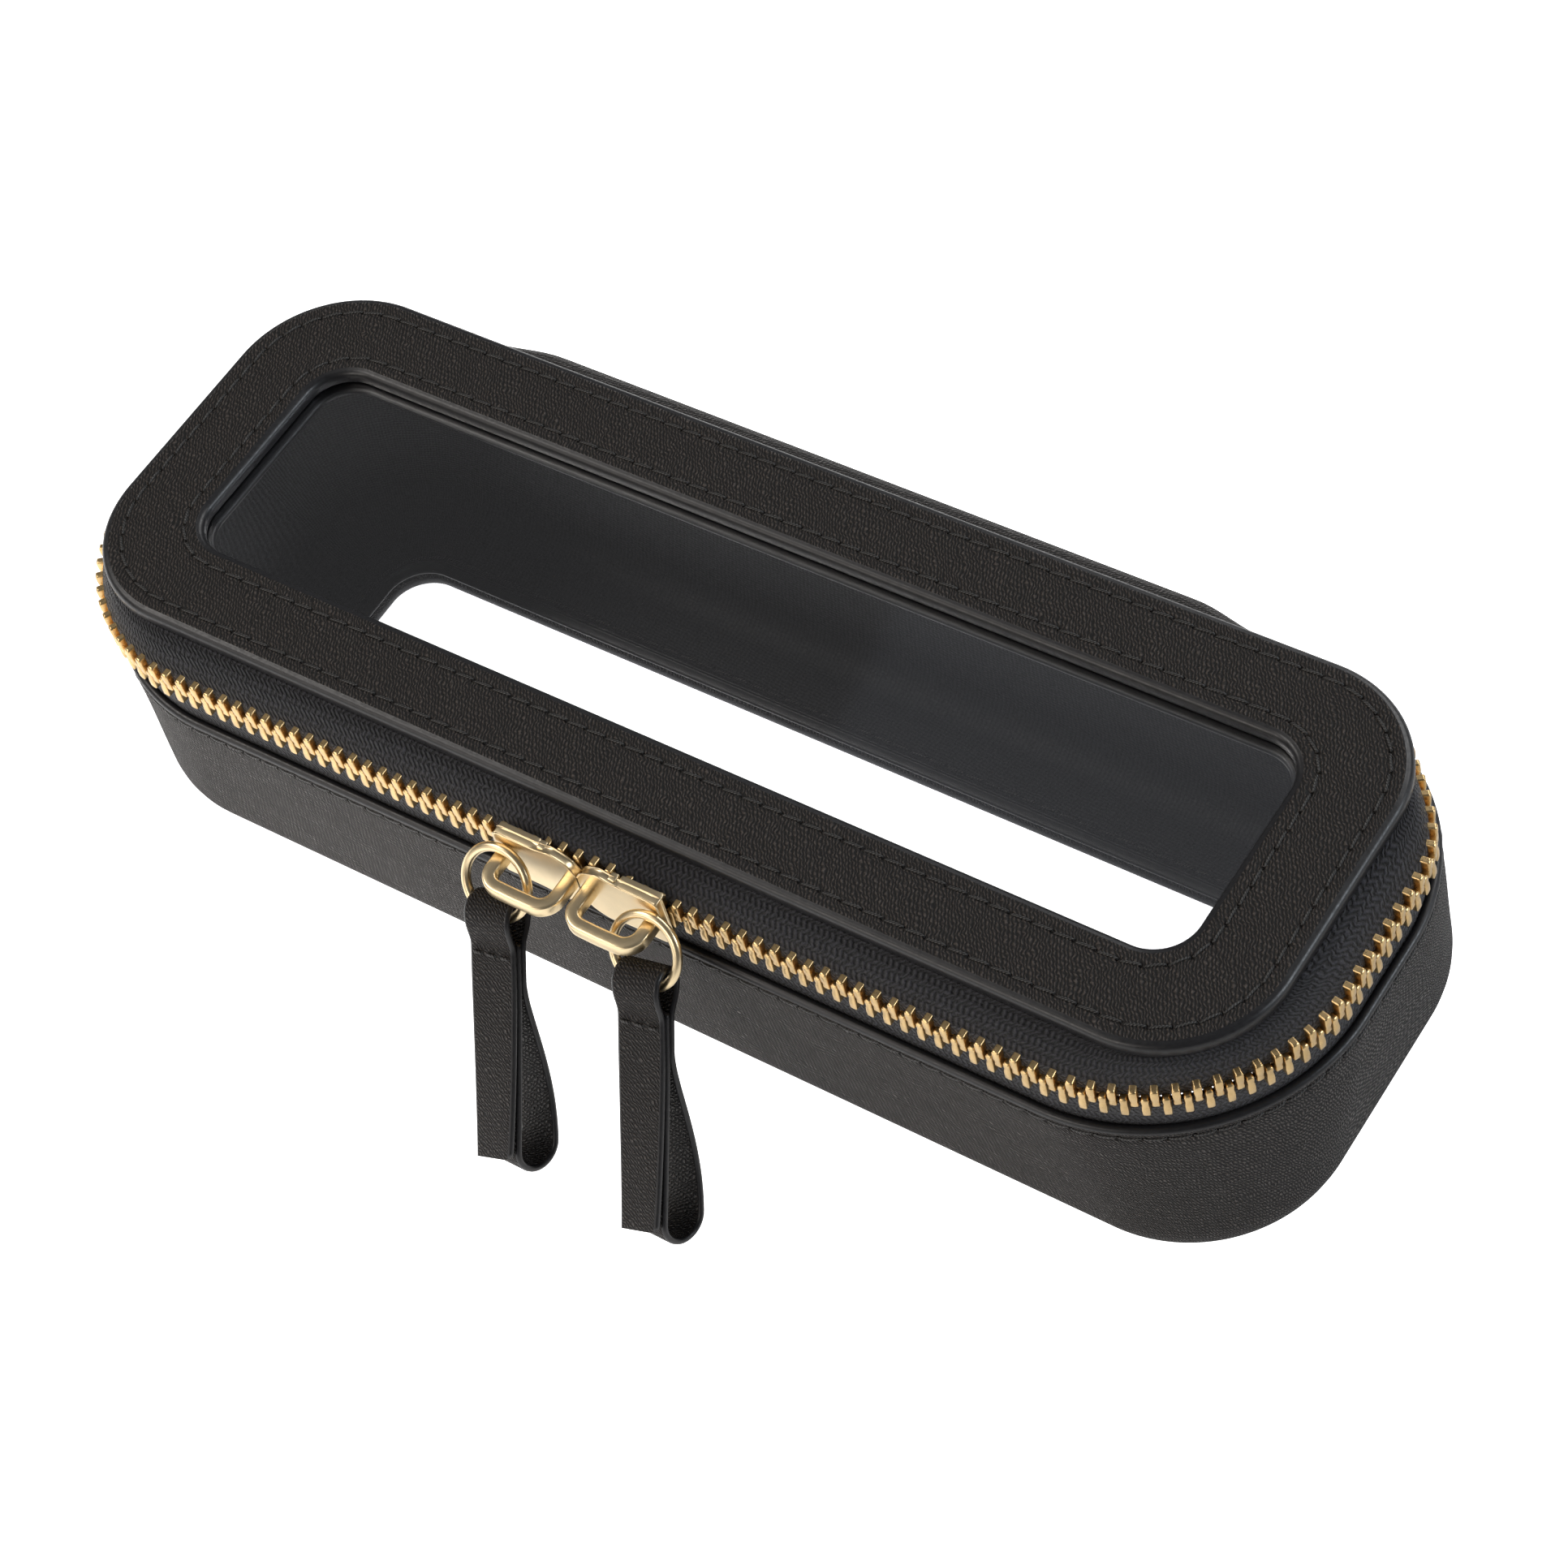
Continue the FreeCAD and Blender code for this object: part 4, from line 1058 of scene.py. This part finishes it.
def block_rings(low, high, bevel):
    """A soft-cornered block between two corners."""
    low, high = np.array(low), np.array(high)
    centre, half = (low + high) / 2, (high - low) / 2
    rings = []
    for turn in np.radians((-90, -60, -30, 0, 0.1, 30, 60, 90)):
        shrink = bevel * (1 - math.cos(turn))
        side = -1 if turn <= 0 else 1
        y = centre[1] + side * (half[1] - bevel) + bevel * math.sin(turn)
        section = superellipse(half[0] - shrink, half[2] - shrink, 24, 0.22)
        rings.append([(centre[0] + a, y, centre[2] + b) for a, b in section])
    return np.array(rings)


def path_frames(path):
    heading = np.gradient(path, axis=0)
    return heading / np.linalg.norm(heading, axis=1)[:, None]


def crown_path():
    """The middle line of the crown's band, in the XY plane, from tail to nose."""
    start = 0.1 - half_slider
    left, right = start + CROWN_BAND / 2, start + CROWN_LENGTH - CROWN_BAND / 2
    out = plate_face - CROWN_HOLE - CROWN_BAND / 2
    radius = CROWN_CORNER - CROWN_BAND / 2
    points = [(left, plate_face + 0.4), (left, plate_face), (left, out + radius + 0.4)]
    for turn in np.radians(range(180, 271, 10)):
        points.append((left + radius + radius * math.cos(turn), out + radius + radius * math.sin(turn)))
    points.append(((left + right) / 2, out - 0.05))
    for turn in np.radians(range(270, 361, 10)):
        points.append((right - radius + radius * math.cos(turn), out + radius + radius * math.sin(turn)))
    points += [(right, out + radius + 0.4), (right, plate_face), (right, plate_face + 0.4)]
    return np.array(points)


def crown_rings():
    path = crown_path()
    heading = path_frames(path)
    rings = []
    for (x, y), (dx, dy) in zip(path, heading):
        section = superellipse(CROWN_BAND / 2, CROWN_HEIGHT / 2, 24, 0.36)
        rings.append([(x - dy * a, y + dx * a, b) for a, b in section])
    return np.array(rings)


def build_slider(side_name, side):
    box_low, box_high = slider_boxes[side_name]
    middle = np.array([(box_low[0] + box_high[0]) / 2, middle_y - panel_half_y - ZIP_GROW, ZIP_Z])

    def placed(rings):
        rings = np.array(rings, float)
        rings[..., 0] *= -side
        return rings + middle

    body = Gather()
    plan = plate_plan()
    body.loft(placed(plate_rings(plan, plate_face, -CHANNEL, 0.28)))
    back = plan.copy()
    back[:, 1] = np.minimum(back[:, 1], TOOTH_REACH - 0.05)
    body.loft(placed(plate_rings(back, CHANNEL, CHANNEL + BACK_PLATE, 0.2)))
    tail = -half_slider
    lip_inside = SLIDER_TAIL - 0.72
    body.loft(placed(block_rings(
        (tail, plate_face + 0.1, lip_inside), (tail + UPPER_LIP, -0.5, SLIDER_TAIL + 0.02), 0.16
    )))
    for y in (-CHANNEL - 0.3, 0.65):
        low = (tail, y, -SLIDER_TAIL)
        high = (tail + LOWER_LIP, y + 1.0, -SLIDER_TAIL + 0.7)
        body.loft(placed(block_rings(low, high, 0.16)))
    low = (POST_START, -CHANNEL - 0.3, -POST_HALF)
    high = (POST_END, CHANNEL + 0.3, POST_HALF)
    body.loft(placed(block_rings(low, high, 0.15)))
    nub_start = tail + UPPER_LIP + 0.2
    low = (nub_start, -CHANNEL - 0.7, SLIDER_TAIL - 0.5)
    high = (nub_start + NUB_LENGTH, -0.7, SLIDER_TAIL + 0.3)
    body.loft(placed(block_rings(low, high, 0.2)))
    name = f"{side_name}_slider"
    finish_piece(body.piece(f"{name}_plates", SLIDER), name, "slider_metal", f"{name}_body")
    crown = Gather()
    crown.loft(placed(crown_rings()))
    finish_piece(crown.piece(f"{name}_loop", SLIDER), name, "slider_metal", f"{name}_crown")


RING_RADIUS, RING_WIRE = 4.85, 0.65


def pull_axes(side_name):
    """Origin at the strap's fold, and its own axes: x across, y to the back, z up along the strap."""
    lift = joints[f"{side_name}_pull_lift"]
    swing = joints[f"{side_name}_ring_swing"]
    fold = Vector(lift["pos_m"]) / MM
    limb = Vector(swing["pos_m"]) / MM
    x_axis = -Vector(lift["axis"]).normalized()
    z_axis = (limb - fold).normalized()
    y_axis = z_axis.cross(x_axis).normalized()
    return np.array(fold), np.array([x_axis, y_axis, z_axis])


def build_ring(side_name):
    low, high = box_mm(f"{side_name}_jump_ring")
    centre = (low + high) / 2
    _, (x_axis, y_axis, z_axis) = pull_axes(side_name)
    around, sides = 96, 20
    rings = []
    for i in range(around):
        angle = 2 * math.pi * i / around
        out = x_axis * math.cos(angle) + z_axis * math.sin(angle)
        turn = np.arange(sides) * 2 * math.pi / sides
        rings.append([
            centre + out * (RING_RADIUS + RING_WIRE * math.cos(t)) + y_axis * RING_WIRE * math.sin(t)
            for t in turn
        ])
    piece = skin(f"{side_name}_ring_wire", rings, [SLIDER])
    finish_piece(piece, f"{side_name}_ring", "slider_metal", f"{side_name}_jump_ring")


# ---------------------------------------------------------------- straps

STRAP_HALF, STRAP_LEATHER_T = 3.5, 0.92
FLAP_END, SEWN_END, LOOP_DROP = 33.7, 9.0, 32.4
FOLD_RADIUS = 2.25
LAYER = 1.0
LOOP_RADIUS = 3.1


def bezier(a, b, c, d, count):
    t = (np.arange(count) / count)[:, None]
    a, b, c, d = (np.array(p, float) for p in (a, b, c, d))
    return a * (1 - t) ** 3 + 3 * b * t * (1 - t) ** 2 + 3 * c * t ** 2 * (1 - t) + d * t ** 3


def strap_path():
    """The strap's middle line (y, z): up the front flap, over the ring, down the back,
    round the loop and up the middle."""
    flap_top = -4.6
    parts = [
        bezier((-1.35, -FLAP_END), (-1.0, -24), (-LAYER, -14), (-LAYER, flap_top), 46),
        bezier((-LAYER, flap_top), (-LAYER, -3.2), (-FOLD_RADIUS, -2.0), (-FOLD_RADIUS, 0), 12),
    ]
    turn = np.radians(np.arange(180, 0, -10))
    parts.append(np.stack([FOLD_RADIUS * np.cos(turn), FOLD_RADIUS * np.sin(turn)], 1))
    bottom = LOOP_DROP
    back = 2 * LOOP_RADIUS
    parts += [
        bezier((FOLD_RADIUS, 0), (FOLD_RADIUS, -2.0), (LAYER, -3.2), (LAYER, flap_top), 12),
        bezier((LAYER, flap_top), (LAYER, -6), (LAYER, -7.5), (LAYER, -SEWN_END), 6),
        bezier((LAYER, -SEWN_END), (LAYER + 0.2, -13.5), (back + 0.3, -21.5), (back, -bottom), 34),
    ]
    turn = np.radians(np.arange(0, -180, -9))
    loop = np.stack([1 + np.cos(turn), np.sin(turn)], 1) * LOOP_RADIUS
    parts.append(loop - (0, bottom))
    parts.append(bezier((0, -bottom), (0, -25), (0, -12), (0, -3.6), 40))
    parts.append(np.array([(0.0, -3.6)]))
    return np.concatenate(parts)


def strip_section():
    """Half of the strap's section is leather face, its rounded sides are painted edge."""
    half_t = STRAP_LEATHER_T / 2
    flat = STRAP_HALF - half_t
    xs = np.linspace(-flat, flat, 9)
    section = [(x, half_t) for x in xs]
    bend = np.radians((60, 30, 0, -30, -60))
    section += [(flat + half_t * math.cos(a), half_t * math.sin(a)) for a in bend]
    section += [(x, -half_t) for x in xs[::-1]]
    section += [(-flat - half_t * math.cos(a), -half_t * math.sin(a)) for a in bend]
    painted = [0] * 8 + [1] * 6 + [0] * 8 + [1] * 6
    return np.array(section), painted


FLAP_SLANT = 0.24
LOOP_TWIST = -14.0


def build_strap(side_name):
    origin, axes = pull_axes(side_name)
    path = strap_path()
    heading = path_frames(path)
    section, painted = strip_section()
    length = np.r_[0, np.cumsum(np.linalg.norm(np.diff(path, axis=0), axis=1))]
    flap = FLAP_END - 4.6
    rings = []
    for x, t in section:
        line = []
        for (y, z), (dy, dz), s in zip(path, heading, length):
            share = max(0.0, 1 - s / flap)
            z_end = z + FLAP_SLANT * x * share ** 3
            square_off = max(0.0, abs(x) - (STRAP_HALF - 1.3)) / 1.3
            if x > 0:
                z_end += 0.55 * square_off ** 2 * max(0.0, 1 - s / 1.6)
            local = np.array([x, y - dz * t, z_end + dy * t])
            twist = math.radians(LOOP_TWIST) * min(1.0, max(0.0, (-z - SEWN_END) / 24)) ** 1.2
            turned = np.array([
                local[0] * math.cos(twist) - local[1] * math.sin(twist),
                local[0] * math.sin(twist) + local[1] * math.cos(twist),
                local[2],
            ])
            line.append(origin + turned @ axes)
        rings.append(line)
    across = np.r_[section[:, 0], section[0, 0]]
    piece = skin(
        f"{side_name}_strap_leather", rings, [STRAP_LEATHER, PAINT], painted, around=False, across=across
    )
    layer = piece.data.uv_layers["surface"]
    values = np.zeros(len(layer.data) * 2, np.float32)
    layer.data.foreach_get("uv", values)
    values = values.reshape(-1, 2)[:, ::-1]
    layer.data.foreach_set("uv", np.ascontiguousarray(values).ravel())
    finish_piece(piece, f"{side_name}_pull", "saffiano_leather", f"{side_name}_pull_strap")


def build_strap_stitches(side_name):
    origin, axes = pull_axes(side_name)
    gather = Gather()
    front = -LAYER - STRAP_LEATHER_T / 2
    for place in (-1, 0, 1):
        rings = []
        for share in np.linspace(0, 1, 7):
            x = 2.1 * place + (share - 0.5) * 1.5
            y = front + 0.12 - 0.26 * math.sin(math.pi * share) ** 0.5
            angles = np.arange(8) * math.pi / 4
            ring = [(x, y + 0.2 * math.sin(a), -5.3 + 0.22 * math.cos(a)) for a in angles]
            rings.append(origin + np.array(ring) @ axes)
        gather.loft(rings)
    piece = gather.piece(f"{side_name}_strap_threads", THREAD)
    finish_piece(piece, f"{side_name}_pull", "thread", f"{side_name}_pull_stitching")


# ---------------------------------------------------------------- build the case

build_panel()
build_lid_threads()
build_lid_inner_frame()
build_film("lid_clear_sheet", "lid_window", "lid", 0.14)
build_shell()
build_base_threads()
build_lining()
build_film("base_clear_sheet", "base_window", "base", 0.05)
build_tapes()
build_gusset()
build_teeth("zip_teeth_upper_brass", "zip_teeth_upper", "lid", 1, 0.25)
build_teeth("zip_teeth_lower_brass", "zip_teeth_lower", "base", -1, 0.75)
for slider_name, slider_side in (("left", -1), ("right", 1)):
    build_slider(slider_name, slider_side)
    build_ring(slider_name)
    build_strap(slider_name)
    build_strap_stitches(slider_name)
for board_name in ("lid_stiffener_board", "base_stiffener_board"):
    board = frame["nodes"][board_name]
    board.data.materials.clear()
    board.data.materials.append(BOARD)

# ---------------------------------------------------------------- floor, light and camera


# The camera sees a bright floor and backdrop. All other rays meet a dimmer backdrop, and a floor
# whose light fades from left to right, so the floor that lights the case isn't the one in view.
SEEN_FLOOR, SEEN_BACKDROP, BACKDROP = 1.7, 1.05, 0.12
FADE_START, FADE_END, FADE_FROM, FADE_TO = -0.02, 0.12, 1.0, 0.05
FLOOR_HALF, FLOOR_DROP = 3000.0, 0.05


def camera_rays(tree):
    return node(tree, "ShaderNodeLightPath").outputs["Is Camera Ray"]


def build_floor():
    material, tree, shader = new_material("pale_floor")
    place = node(tree, "ShaderNodeTexCoord").outputs["Object"]
    tone = noise(tree, place, 3.0, 2.0)
    colour = blend_colour(tree, tone, (0.86, 0.86, 0.86, 1), (0.9, 0.9, 0.9, 1))
    tree.links.new(colour, shader.inputs["Base Color"])
    shader.inputs["Roughness"].default_value = 0.9
    shader.inputs["Specular IOR Level"].default_value = 0.1
    shader.inputs["Emission Color"].default_value = (1, 1, 1, 1)
    across = node(tree, "ShaderNodeSeparateXYZ", {0: place}).outputs[0]
    thrown = spread(tree, across, FADE_START, FADE_END, FADE_FROM, FADE_TO)
    strength = spread(tree, camera_rays(tree), 0.0, 1.0, thrown, SEEN_FLOOR)
    tree.links.new(strength, shader.inputs["Emission Strength"])
    signs = ((-1, -1), (1, -1), (1, 1), (-1, 1))
    corners = [(x * FLOOR_HALF, y * FLOOR_HALF, -FLOOR_DROP) for x, y in signs]
    floor = mesh_object("floor", corners, [(0, 1, 2, 3)], None, [material], outwards=False)


def area_light(name, place, size, power, colour, target=(0, 0.013, 0.03)):
    data = bpy.data.lights.new(name, "AREA")
    data.shape = "RECTANGLE"
    data.size, data.size_y = size
    data.energy = power
    data.color = colour
    lamp = bpy.data.objects.new(name, data)
    lamp.location = place
    lamp.rotation_euler = (Vector(target) - Vector(place)).to_track_quat("-Z", "Y").to_euler()
    bpy.context.scene.collection.objects.link(lamp)


def build_light():
    world = bpy.data.worlds.new("studio")
    bpy.context.scene.world = world
    world.use_nodes = True
    background = world.node_tree.nodes["Background"]
    background.inputs["Color"].default_value = (0.97, 0.97, 1.0, 1)
    strength = spread(world.node_tree, camera_rays(world.node_tree), 0.0, 1.0, BACKDROP, SEEN_BACKDROP)
    world.node_tree.links.new(strength, background.inputs["Strength"])
    area_light("key_left", (-0.8, -0.25, 1.0), (0.7, 0.5), 5.5, (1.0, 0.95, 0.9))
    area_light("side_right", (1.0, 0.45, 0.5), (0.5, 0.5), 5.0, (0.86, 0.93, 1.0))
    area_light("back_top", (0.1, 0.9, 0.75), (0.9, 0.35), 4.5, (1.0, 1.0, 1.0))
    area_light("front_low", (-0.3, -1.0, 0.6), (0.9, 0.5), 4.5, (1.0, 0.93, 0.86))
    area_light("ceiling_card", (-0.16, 0.45, 0.86), (0.55, 0.7), 0.07, (0.8, 0.86, 1.0), (-0.16, 0.45, 0))


CAMERA_ANGLES = (46.742, 52.717, -16.993)
CAMERA_LENS = 89.1
CAMERA_BACK, CAMERA_RIGHT, CAMERA_DOWN = 0.4948, 0.0083, 0.0188


def build_camera():
    azimuth, elevation, roll = (math.radians(value) for value in CAMERA_ANGLES)
    level = math.cos(elevation)
    back = Vector((math.sin(azimuth) * level, -math.cos(azimuth) * level, math.sin(elevation)))
    right = Vector((math.cos(azimuth), math.sin(azimuth), 0))
    up = back.cross(right)
    rolled_right = math.cos(roll) * right + math.sin(roll) * up
    rolled_up = math.cos(roll) * up - math.sin(roll) * right
    focus = Vector((0, middle_y * MM, panel_top * MM))
    data = bpy.data.cameras.new("camera")
    data.sensor_width = 36
    data.lens = CAMERA_LENS
    data.clip_start = 0.01
    camera = bpy.data.objects.new("camera", data)
    bpy.context.scene.collection.objects.link(camera)
    place = focus + CAMERA_BACK * back + CAMERA_RIGHT * rolled_right - CAMERA_DOWN * rolled_up
    turn = Matrix((rolled_right, rolled_up, back)).transposed().to_4x4()
    camera.matrix_world = Matrix.Translation(place) @ turn
    bpy.context.scene.camera = camera


build_floor()
build_light()
build_camera()
bpy.context.scene.view_settings.view_transform = "Standard"
